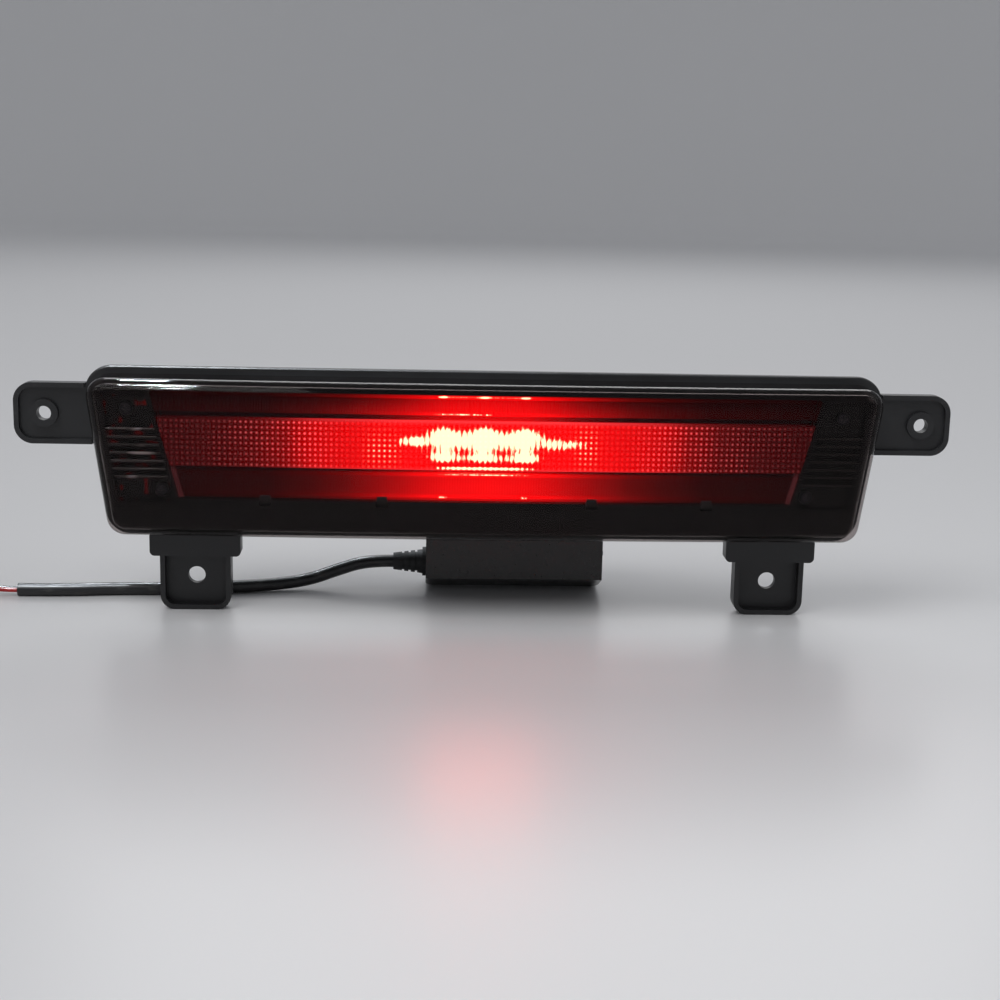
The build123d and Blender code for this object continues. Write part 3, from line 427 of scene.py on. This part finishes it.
def lens_glow():
    """Red acrylic. Its glow is hot before the three LEDs and fades to the ends, band by band. The pillows'
    centre dots turn paler and brighter towards the ends: partly glow, partly painted highlights.
    """
    finish = Finish("lens_red_lit", roughness=0.10)
    finish.shader.inputs["Specular IOR Level"].default_value = 0.04
    x, _, z = finish.axes()
    out = finish.math("DIVIDE", finish.math("ABSOLUTE", x), LENS_HALF_TOP)
    in_band = finish.times(
        finish.spread(z, BAND_BOTTOM - 0.3 * MM, BAND_BOTTOM),
        finish.spread(z, BAND_TOP, BAND_TOP + 0.3 * MM, 1, 0),
    )
    rim = finish.add(
        finish.spread(z, BAND_BOTTOM, BAND_BOTTOM + BAND_RIM, 1, 0),
        finish.spread(z, BAND_TOP - BAND_RIM, BAND_TOP),
    )
    across, far = pillow_places(finish, x, z)
    spot = finish.times(finish.spread(far, 0.12, 0.60, 1, 0), in_band)
    strips = end_strips(finish, x, z)
    hot = hot_places(finish, x, z, in_band, across, far)

    # the pillows' centre dots: glow, and towards the ends paler painted highlights
    pale = finish.times(spot, finish.spread(out, 0.42, 0.72, 0.06, 0.90))
    pale = finish.math("MAXIMUM", pale, finish.times(rim, in_band, 0.15))
    pale = finish.math("MAXIMUM", pale, finish.times(strips, 1.4))
    finish.feed(finish.mix(hot, finish.mix(pale, RED, PINK), WHITE_HOT), "Emission Color")

    patchy = finish.spread(finish.noise(9 * MM, 1.0), 0.35, 0.65, 0.60, 1.35)
    # painted highlights: the dots' extra brightness rises towards the ends
    pillow_dots_glow_and_highlight = finish.times(spot, patchy, finish.spread(out, 0.40, 0.72, 0.45, 3.4))
    band = finish.times(finish.curve(out, GLOW_BAND, MOST), finish.add(pillow_dots_glow_and_highlight, 0.60))
    plain = plain_bands(finish, z, out)
    glow = finish.add(
        plain,
        finish.times(in_band, finish.math("SUBTRACT", band, plain)),
        finish.times(strips, patchy, 0.04),
    )
    burn = finish.times(finish.math("POWER", hot, 1.5), BURN_STRENGTH)
    finish.feed(finish.add(finish.times(glow, GLOW_STRENGTH), burn), "Emission Strength")

    wash = finish.noise(14 * MM, 3.0)
    finish.feed(finish.mix(wash, (0.018, 0.0004, 0.0008), (0.032, 0.0008, 0.001)), "Base Color")
    finish.feed(finish.bump(finish.noise(3 * MM, 2.0), 0.005 * MM), "Normal")
    return finish.material


def lens_rows():
    """The lens's section, front face upwards and then down its back: (z, y, pattern) with y at x = 0."""
    front = lens_low.y
    band_front = front + 0.1 * MM
    shelf = front + 3.8 * MM
    rows = [(LENS_BOTTOM, front + 1.6 * MM, None), (LENS_BOTTOM + LIP, front + 1.6 * MM, None)]

    def climb(z0, y0, z1, y1, steps, pattern):
        for i in range(steps + 1):
            share = i / steps
            rows.append((z0 + (z1 - z0) * share, y0 + (y1 - y0) * share, pattern))

    climb(LENS_BOTTOM + LIP, front + 2.8 * MM, BAND_BOTTOM - GROOVE_LOWER, front + 1.4 * MM, 8, "soft flute")
    rows.append((BAND_BOTTOM - GROOVE_LOWER, shelf, None))
    rows.append((BAND_BOTTOM, shelf, None))
    climb(BAND_BOTTOM, band_front, BAND_TOP, band_front, PILLOW_ROWS * PILLOW_STEPS, "pillow")
    rows.append((BAND_TOP, shelf, None))
    rows.append((BAND_TOP + GROOVE_UPPER, shelf, None))
    climb(BAND_TOP + GROOVE_UPPER, front + 1.0 * MM, LENS_TOP - LIP, front + 2.8 * MM, 8, "flute")
    rows += [(LENS_TOP - LIP, front + 2.0 * MM, None), (LENS_TOP, front + 2.0 * MM, None)]
    rear, hollow = lens_high.y, lens_high.y - LENS_WALL
    inner_top, inner_bottom = LENS_TOP - LENS_WALL, LENS_BOTTOM + LENS_WALL
    rows += [(LENS_TOP, rear, None), (inner_top, rear, None), (inner_top, hollow, None)]
    rows += [(inner_bottom, hollow, None), (inner_bottom, rear, None), (LENS_BOTTOM, rear, None)]
    return rows


def lens_relief(pattern, x, z, edge):
    """How far the lens stands out at x, z; edge is 0 at a pattern's rim."""
    if pattern == "pillow":
        along = abs(sin(pi * x / PILLOW_PITCH_X))
        up = abs(sin(pi * (z - BAND_BOTTOM) / PILLOW_PITCH_Z))
        return PILLOW_HEIGHT * (along * up) ** 0.8
    if pattern == "flute":
        return FLUTE_HEIGHT * edge * cos(4 * pi * x / PILLOW_PITCH_X)
    if pattern == "soft flute":
        return 0.4 * FLUTE_HEIGHT * edge * cos(4 * pi * x / PILLOW_PITCH_X)
    return 0.0


def swept_lens():
    """The section swept along the bow, with its relief, longer than the lens at both ends."""
    rows = lens_rows()
    step = PILLOW_PITCH_X / PILLOW_STEPS
    columns = ceil(LENS_HALF_TOP / step) + 2
    points, faces = [], []
    for i in range(-columns, columns + 1):
        x = i * step
        for j, (z, y, pattern) in enumerate(rows):
            rim = pattern is not None and (rows[j - 1][2] != pattern or rows[j + 1][2] != pattern)
            relief = lens_relief(pattern, x, z, 0.0 if rim else 1.0)
            points.append((x, y - relief + bow(x), z))
    count = len(rows)
    for i in range(2 * columns):
        for j in range(count):
            a, b = i * count + j, i * count + (j + 1) % count
            faces.append((a, a + count, b + count, b))
    mesh = bpy.data.meshes.new("lens_moulding")
    mesh.from_pydata(points, [], faces)
    return mesh


def cut_across(form, side, inset, clear=False):
    """Cuts the lens along its slanting end, inset from it."""
    return bmesh.ops.bisect_plane(
        form,
        geom=form.verts[:] + form.edges[:] + form.faces[:],
        plane_co=(side * (LENS_HALF_TOP - inset), 0, LENS_TOP),
        plane_no=Vector((side, 0, -END_SLOPE)).normalized(),
        clear_outer=clear,
    )


def cut_ends(form):
    """Two lines for the raised strip, and the end itself, closed."""
    for side in (-1, 1):
        cut_across(form, side, END_FLANGE)
        cut_across(form, side, END_FLANGE - END_STEP)
        cut = cut_across(form, side, 0.0, clear=True)
        rim = [part for part in cut["geom_cut"] if isinstance(part, bmesh.types.BMEdge)]
        end = bmesh.ops.contextual_create(form, geom=rim)
        bmesh.ops.triangulate(form, faces=end["faces"])


def raise_end_strips(form):
    """Brings the front of the plainer bands forward at both ends."""
    strip_front, front_half = lens_low.y + 1.0 * MM, lens_low.y + 7.0 * MM
    for vert in form.verts:
        at = vert.co
        plain = not BAND_BOTTOM - 0.01 * MM < at.z < BAND_TOP + 0.01 * MM
        end = LENS_HALF_TOP - END_SLOPE * (LENS_TOP - at.z)
        if plain and abs(at.x) > end - END_FLANGE + END_STEP / 2 and at.y < front_half:
            at.y = min(at.y, strip_front + bow(at.x))


def make_lens(finish):
    """One closed moulding: the section swept along the bow, patterned, then cut to slanting ends."""
    mesh = swept_lens()
    form = bmesh.new()
    form.from_mesh(mesh)
    cut_ends(form)
    raise_end_strips(form)
    bmesh.ops.recalc_face_normals(form, faces=form.faces)
    for face in form.faces:
        face.smooth = True
    for line in form.edges:
        line.smooth = line.is_manifold and line.calc_face_angle(0) < SHARP_EDGE
    form.to_mesh(mesh)
    form.free()
    lens = place("lens_moulding", mesh, "lens_red", finish)
    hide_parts("red_lens")


# ---------------------------------------------------------------- helpers for new pieces
def place(name, data, slot, finish=None):
    """A new piece that rides on the lamp and takes a slot of the record."""
    piece = bpy.data.objects.new(name, data)
    scene.collection.objects.link(piece)
    if finish is not None:
        data.materials.append(finish)
    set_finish(piece, slot)
    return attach(piece, "root")


def smooth_line(name, points, diameter, slot):
    """A round cord along one smooth curve whose control points are given."""
    data = bpy.data.curves.new(name, "CURVE")
    data.dimensions = "3D"
    data.bevel_depth = 1.0
    data.bevel_resolution = 6
    data.use_fill_caps = True
    data.resolution_u = 10
    spline = data.splines.new("NURBS")
    spline.points.add(len(points) - 1)
    for control, at in zip(spline.points, points):
        control.co = (*at, 1.0)
        control.radius = diameter / 2
    spline.order_u = 3
    spline.use_endpoint_u = True
    return place(name, data, slot)


# ---------------------------------------------------------------- the pigtail
CABLE_DIAMETER = 5.4 * MM
LEAD_DIAMETER = 1.9 * MM
LEAD_GAP = 2.4 * MM
LEAD_STRAIGHT = 6.0 * MM
PLUG_PITCH = 5.0 * MM
CABLE_EXIT = (-0.0380, 0.0200, 0.0120)
CABLE_ROUTE = [
    CABLE_EXIT,
    (-0.0490, 0.0200, 0.0120),
    (-0.0610, 0.0192, 0.0084),
    (-0.0740, 0.0168, 0.0040),
    (-0.0900, 0.0126, 0.0027),
    (-0.1100, 0.0080, 0.0027),
    (-0.1320, 0.0050, 0.0027),
    (-0.1540, 0.0044, 0.0027),
    (-0.1750, 0.0012, 0.0027),
    (-0.1940, 0.0012, 0.0027),
]


def make_leads():
    """The two bare leads from the end of the sheath to the plug."""
    leads = []
    for node, slot, side in (("lead_positive", "wire_red", -1), ("lead_negative", "wire_black", 1)):
        low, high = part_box(node)
        start = CABLE_ROUTE[-1][1] + side * LEAD_GAP / 2
        end = side * PLUG_PITCH / 2
        base, top = low.z + LEAD_DIAMETER / 2, high.z - LEAD_DIAMETER / 2
        points = [
            (high.x, start, base), (high.x - LEAD_STRAIGHT, start, base),
            (low.x + LEAD_STRAIGHT, end, top), (low.x, end, top),
        ]
        leads.append(smooth_line(f"{node}_wire", points, LEAD_DIAMETER, slot))
        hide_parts(node)
    return leads


def make_pigtail():
    """The sheath and its two leads; returns the three cords."""
    sheath = smooth_line("pigtail_sheath", CABLE_ROUTE, CABLE_DIAMETER, "sheath_black")
    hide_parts("pigtail_cable")
    leads = make_leads()
    return [sheath, *leads]


# ---------------------------------------------------------------- the foam gasket
GASKET_INSET = 3.3 * MM  # of its centre line from the body's outline
GASKET_HALF = 2.4 * MM
GASKET_CORNER = 7.2 * MM
GASKET_CROWN = 0.4 * MM
GASKET_STEP = 3.0 * MM
GASKET_ROUND = 0.5 * MM
GASKET_UNEVEN = 0.05 * MM
CORNER_STEPS = 10


def gasket_line():
    """Points round the gasket's centre line, each with the way out at it, both in X and Z."""
    high, low = BODY_TOP - GASKET_INSET, BODY_BOTTOM + GASKET_INSET

    def half(z):
        return BODY_HALF_BOTTOM + BODY_SLOPE * (z - BODY_BOTTOM) - GASKET_INSET * sqrt(1 + BODY_SLOPE**2)

    upper, lower = half(high), half(low)
    corners = [Vector(c) for c in ((upper, high), (-upper, high), (-lower, low), (lower, low))]
    line = []
    for i, corner in enumerate(corners):
        before = (corners[i - 1] - corner).normalized()
        after = (corners[(i + 1) % 4] - corner).normalized()
        opening = before.angle(after)
        centre = corner + (before + after).normalized() * GASKET_CORNER / sin(opening / 2)
        first = (corner + before * GASKET_CORNER / tan(opening / 2) - centre).normalized()
        last = (corner + after * GASKET_CORNER / tan(opening / 2) - centre).normalized()
        arc = [first.slerp(last, k / CORNER_STEPS) for k in range(CORNER_STEPS + 1)]
        line += [(centre + GASKET_CORNER * out, out) for out in arc]
    return line


def gasket_section(depth):
    """The strip's section, counter-clockwise: (place across it, place through it)."""
    wide = GASKET_HALF - GASKET_UNEVEN
    side = [
        (wide - GASKET_ROUND, 0.0), (wide - 0.12 * MM, 0.12 * MM), (wide, GASKET_ROUND), (wide, depth * 0.6),
        (wide - 0.15 * MM, depth - GASKET_CROWN - 0.25 * MM),
    ]
    crown = [(wide * k / 4, depth - GASKET_CROWN * (k / 4) ** 2) for k in (3, 2, 1, 0, -1, -2, -3)]
    return side + crown + [(-u, y) for u, y in reversed(side)]


def make_gasket(finish):
    """A strip of closed-cell foam: crowned, its edges rounded where it was cut, and not quite even."""
    low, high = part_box("mounting_gasket")
    line = gasket_line()
    dense = []
    for (start, out), (end, _) in zip(line, line[1:] + line[:1]):
        count = max(1, round((end - start).length / GASKET_STEP))
        dense += [(start.lerp(end, k / count), out) for k in range(count)]
    depth = high.y - low.y
    section = gasket_section(depth)
    widest = max(u for u, _ in section)
    points, faces = [], []
    for i, (at, out) in enumerate(dense):
        give = GASKET_UNEVEN * sin(i * 0.9) * sin(i * 0.23)
        for u, y in section:
            edge = at + out * (u + (give if abs(u) > widest * 0.9 else 0.0))
            points.append((edge.x, low.y + y - (abs(give) if y > depth * 0.7 else 0.0), edge.y))
    count, around = len(section), len(dense)
    for i in range(around):
        for j in range(count):
            a, b = i * count, (i + 1) % around * count
            faces.append((a + j, b + j, b + (j + 1) % count, a + (j + 1) % count))
    mesh = bpy.data.meshes.new("gasket_foam_strip")
    mesh.from_pydata(points, [], faces)
    form = bmesh.new()
    form.from_mesh(mesh)
    bmesh.ops.recalc_face_normals(form, faces=form.faces)
    form.to_mesh(mesh)
    form.free()
    mesh.shade_smooth()
    gasket = place("gasket_foam_strip", mesh, "seal_foam", finish)
    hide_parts("mounting_gasket")


# ---------------------------------------------------------------- studio
def make_floor():
    """A pale floor that rises to a low wall far off, all round."""
    flat, turn, wall = 2.6, 0.9, 0.5
    section = [(flat * i / 12, 0.0) for i in range(13)]
    section += [(flat + turn * sin(a), turn * (1 - cos(a))) for a in [pi / 2 * i / 10 for i in range(1, 11)]]
    section.append((flat + turn, turn + wall))
    sides = 96
    points = [(0.0, 0.0, 0.0)]
    faces = []
    for i in range(sides):
        angle = 2 * pi * i / sides
        points += [(r * cos(angle), r * sin(angle), z) for r, z in section[1:]]
    rings = len(section) - 1
    for i in range(sides):
        a, b = 1 + i * rings, 1 + (i + 1) % sides * rings
        faces.append((0, a, b))
        faces += [(a + j, a + j + 1, b + j + 1, b + j) for j in range(rings - 1)]
    mesh = bpy.data.meshes.new("studio_floor")
    mesh.from_pydata(points, [], faces)
    mesh.shade_smooth()
    floor = bpy.data.objects.new("studio_floor", mesh)
    scene.collection.objects.link(floor)
    finish = Finish("pale_floor", roughness=0.3)
    tone = finish.noise(0.8, 1.0)
    finish.feed(finish.mix(tone, (0.70, 0.70, 0.71), (0.72, 0.72, 0.73)), "Base Color")
    mesh.materials.append(finish.material)
    return floor


def soft_light(name, at, towards, size, power, colour=(1, 1, 1)):
    """A rectangular lamp whose width lies along the world's X axis."""
    data = bpy.data.lights.new(name, "AREA")
    data.shape = "RECTANGLE"
    data.size, data.size_y = size
    data.energy = power
    data.color = colour
    back = (Vector(at) - Vector(towards)).normalized()
    across = (Vector((1, 0, 0)) - back * back.x).normalized()
    turn = Matrix((across, back.cross(across), back)).transposed()
    light = bpy.data.objects.new(name, data)
    light.matrix_world = Matrix.Translation(at) @ turn.to_4x4()
    scene.collection.objects.link(light)
    return light


COVER_ROUND = 6.0 * MM  # of the cover's front edges
BAR_DISTANCE = 1.0
BAR_TALL = 0.16
BAR_COLOUR = (0.86, 0.93, 1.0)
HIGHLIGHTS = [  # place along the lamp, slope of the rounding there, length and the power of its lamp
    (-142.0 * MM, radians(66), 20.0 * MM, 6.0),
    (-141.0 * MM, radians(42), 23.0 * MM, 19.0),
]


def make_highlights(floor):
    """Lamps that each draw a thin line on the cover's rounded upper edge, and leave the floor alone."""
    left_out = bpy.data.collections.new("without_highlights")
    left_out.objects.link(floor)
    left_out.collection_objects[0].light_linking.link_state = "EXCLUDE"
    eye = scene.camera.matrix_world.translation
    low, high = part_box("outer_cover")
    for i, (x, slope, length, power) in enumerate(HIGHLIGHTS):
        facing = Vector((0, -cos(slope), sin(slope)))
        middle = Vector((x, low.y + bow(x) + COVER_ROUND, high.z - COVER_ROUND))
        at = middle + facing * COVER_ROUND
        seen = (eye - at).normalized()
        away = facing * 2 * facing.dot(seen) - seen
        width = length * (1 + BAR_DISTANCE / (eye - at).length)
        bar = soft_light(f"bar_{i}", at + away * BAR_DISTANCE, at, (width, BAR_TALL), power, BAR_COLOUR)
        bar.visible_diffuse = False
        bar.light_linking.receiver_collection = left_out


def make_studio():
    floor = make_floor()
    middle = (0, 0, 0.05)
    soft_light("key", (-0.9, -0.9, 1.6), middle, (1.4, 1.2), 17)
    soft_light("fill", (1.4, -0.4, 1.2), middle, (1.2, 1.2), 5)
    soft_light("back", (0.2, 1.7, 1.2), middle, (1.6, 0.9), 9)
    make_highlights(floor)
    world = bpy.data.worlds.new("studio")
    world.use_nodes = True
    world.node_tree.nodes["Background"].inputs["Color"].default_value = (0.80, 0.82, 0.86, 1)
    world.node_tree.nodes["Background"].inputs["Strength"].default_value = 0.40
    scene.world = world
    scene.view_settings.view_transform = "Standard"


# ---------------------------------------------------------------- finishes for the CAD pieces
def make_finishes():
    """A finish for every material slot of the record."""
    return {
        "housing_black": moulded("housing_black_grained", (0.010, 0.010, 0.011), 0.38, dust=0.03),
        "cover_clear": see_through("cover_smoked", (0.80, 0.75, 0.74), 0.010, 0.006),
        "bezel_black": bezel_finish(),
        "lens_red": lens_glow(),
        "reflector_metal": metal("reflector_bright", (0.86, 0.86, 0.88), 0.08, (1, 1, 1), 0.002 * MM, 0.05),
        "seal_rubber": rubber("seal_rubber_black", (0.016, 0.016, 0.017)),
        "seal_foam": foam("gasket_foam", (0.035, 0.035, 0.037)),
        "screw_steel": metal("screw_zinc", (0.66, 0.67, 0.70), 0.28, (1, 1, 1), 0.01 * MM),
        "screw_black": metal("screw_black_zinc", (0.06, 0.06, 0.07), 0.35, (1, 1, 1), 0.01 * MM),
        "board_white": circuit_board("board_mask_white", (0.76, 0.77, 0.74), (0.86, 0.86, 0.80)),
        "board_green": circuit_board("board_mask_green", (0.010, 0.10, 0.035), (0.03, 0.20, 0.06)),
        "led_yellow": led_dome(),
        "component_black": moulded("component_epoxy", (0.012, 0.012, 0.013), 0.5, dust=0.0),
        "component_tin": metal("component_can", (0.72, 0.72, 0.74), 0.25, (1, 9, 1)),
        "header_white": moulded("header_nylon", (0.62, 0.60, 0.52), 0.45, dust=0.0),
        "heat_aluminium": metal("heat_sink_extruded", (0.64, 0.65, 0.68), 0.34, (1, 1, 14), 0.01 * MM),
        "case_black": moulded("case_semi_gloss", (0.008, 0.006, 0.006), 0.20, depth=0.0015 * MM, dust=0.01),
        "sheath_black": sheath_finish(),
        "wire_red": moulded("wire_pvc_red", (0.42, 0.010, 0.010), 0.3, depth=0.003 * MM, dust=0.02),
        "wire_black": moulded("wire_pvc_black", (0.012, 0.012, 0.012), 0.3, depth=0.003 * MM, dust=0.02),
        "plug_grey": moulded("plug_nylon", (0.035, 0.036, 0.039), 0.40, 0.25 * MM),
        "lock_orange": moulded("lock_nylon_orange", (0.62, 0.14, 0.012), 0.38, dust=0.02),
        "seal_silicone": rubber("seal_silicone_red", (0.25, 0.035, 0.018), 0.45),
        "terminal_tin": metal("terminal_tinned", (0.76, 0.74, 0.70), 0.3, (8, 1, 1)),
        "vent_white": moulded("vent_cap", (0.045, 0.045, 0.047), 0.45),
    }


def led_dome():
    """The clear dome of an LED, lit."""
    finish = Finish("led_lit", base_color=(0.8, 0.4, 0.2, 1), roughness=0.1, emission_strength=12.0)
    finish.feed(finish.mix(finish.noise(1.2 * MM), (1.0, 0.5, 0.2), (1.0, 0.9, 0.6)), "Emission Color")
    finish.material.cycles.emission_sampling = "NONE"
    return finish.material


POCKET_FROM_LENS = (1.9 * MM, 40.0 * MM)  # the bezel's end pockets, out from the lens's slanting end
POCKET_FROM_RIM = (9.1 * MM, 60.0 * MM)  # in from the body's slanting end
POCKET_Z = (47.0 * MM, 90.2 * MM)
POCKET_EDGE = 0.2 * MM
LOUVRE_FRONTS = (3.2 * MM, 4.4 * MM)  # how far behind the bezel's face the louvre fronts' painted sheen and painted glints fade


def bezel_finish():
    """High-gloss black. The louvres' front edges carry a painted sheen and, on the left, painted glints;
    behind them on the left a painted red glow stands for the lens's light.
    """
    finish = Finish("bezel_gloss_black")
    finish.shader.inputs["Specular IOR Level"].default_value = 0.20
    clouds = finish.noise(26 * MM, 3.0, (2.2, 1, 1))
    x, y, z = finish.axes()
    out = finish.math("ABSOLUTE", x)

    def inside(value, least, most):
        return finish.times(
            finish.spread(value, least, least + POCKET_EDGE),
            finish.spread(value, most - POCKET_EDGE, most, 1, 0),
        )

    lens_end = finish.math("MULTIPLY_ADD", z, END_SLOPE, LENS_HALF_TOP - END_SLOPE * LENS_TOP)
    body_end = finish.math("MULTIPLY_ADD", z, BODY_SLOPE, BODY_HALF_BOTTOM - BODY_SLOPE * BODY_BOTTOM)
    pocket = finish.times(
        inside(finish.math("SUBTRACT", out, lens_end), *POCKET_FROM_LENS),
        inside(finish.math("SUBTRACT", body_end, out), *POCKET_FROM_RIM),
        inside(z, *POCKET_Z),
    )
    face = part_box("front_bezel")[0].y
    near = finish.times(pocket, finish.spread(y, *[face + depth for depth in LOUVRE_FRONTS], 1, 0))
    left = finish.spread(x, -1.0 * MM, 1.0 * MM, 1, 0)
    painted_glints = finish.spread(finish.noise(6.5 * MM, 0.0, (2.0, 1, 0.9)), 0.56, 0.66)
    base = finish.mix(clouds, (0.003, 0.003, 0.003), (0.006, 0.006, 0.007))
    # painted sheen: the louvre fronts are lighter than the rest of the bezel
    base = finish.mix(near, base, (0.022, 0.020, 0.020))
    # painted glints: pale patches on the left louvre fronts
    finish.feed(finish.mix(finish.times(painted_glints, near, left), base, (0.42, 0.41, 0.42)), "Base Color")
    rough = finish.spread(clouds, 0.3, 0.7, 0.02, 0.05)
    finish.feed(finish.add(rough, finish.times(pocket, 0.12)), "Roughness")
    # painted red glow: the lens's light painted as emission on the left pockets, behind the louvres
    painted_red_glow = finish.spread(finish.noise(4.0 * MM, 0.0, (0.8, 1, 1)), 0.64, 0.90, 0, 0.14)
    behind = finish.math("SUBTRACT", 1.0, near)
    finish.feed(finish.times(painted_red_glow, left, behind, pocket), "Emission Strength")
    finish.shader.inputs["Emission Color"].default_value = (1.0, 0.02, 0.02, 1)
    finish.feed(finish.bump(finish.noise(18 * MM, 2.0), 0.01 * MM), "Normal")
    return finish.material


def sheath_finish():
    """PVC sheath: a faint orange peel, drawn out along the cable, and scuffs."""
    finish = Finish("sheath_pvc")
    scuffs = finish.spread(finish.noise(2.5 * MM, 5.0, (3, 1, 1)), 0.55, 0.75)
    finish.feed(finish.mix(scuffs, (0.013, 0.013, 0.014), (0.05, 0.048, 0.046)), "Base Color")
    finish.feed(finish.spread(scuffs, 0, 1, 0.34, 0.6), "Roughness")
    finish.feed(finish.bump(finish.noise(0.6 * MM, 3.0, (3, 1, 1)), 0.03 * MM), "Normal")
    return finish.material


def dress_cad(finishes):
    for node in nodes.values():
        for i, old in enumerate(node.data.materials):
            node.data.materials[i] = finishes[old.name]


# ---------------------------------------------------------------- the scene
make_camera()
cords = make_pigtail()
make_studio()
finishes = make_finishes()
for cord in cords:
    cord.data.materials.append(finishes[cord["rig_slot"]])
dress_cad(finishes)
make_lens(finishes["lens_red"])
make_gasket(finishes["seal_foam"])
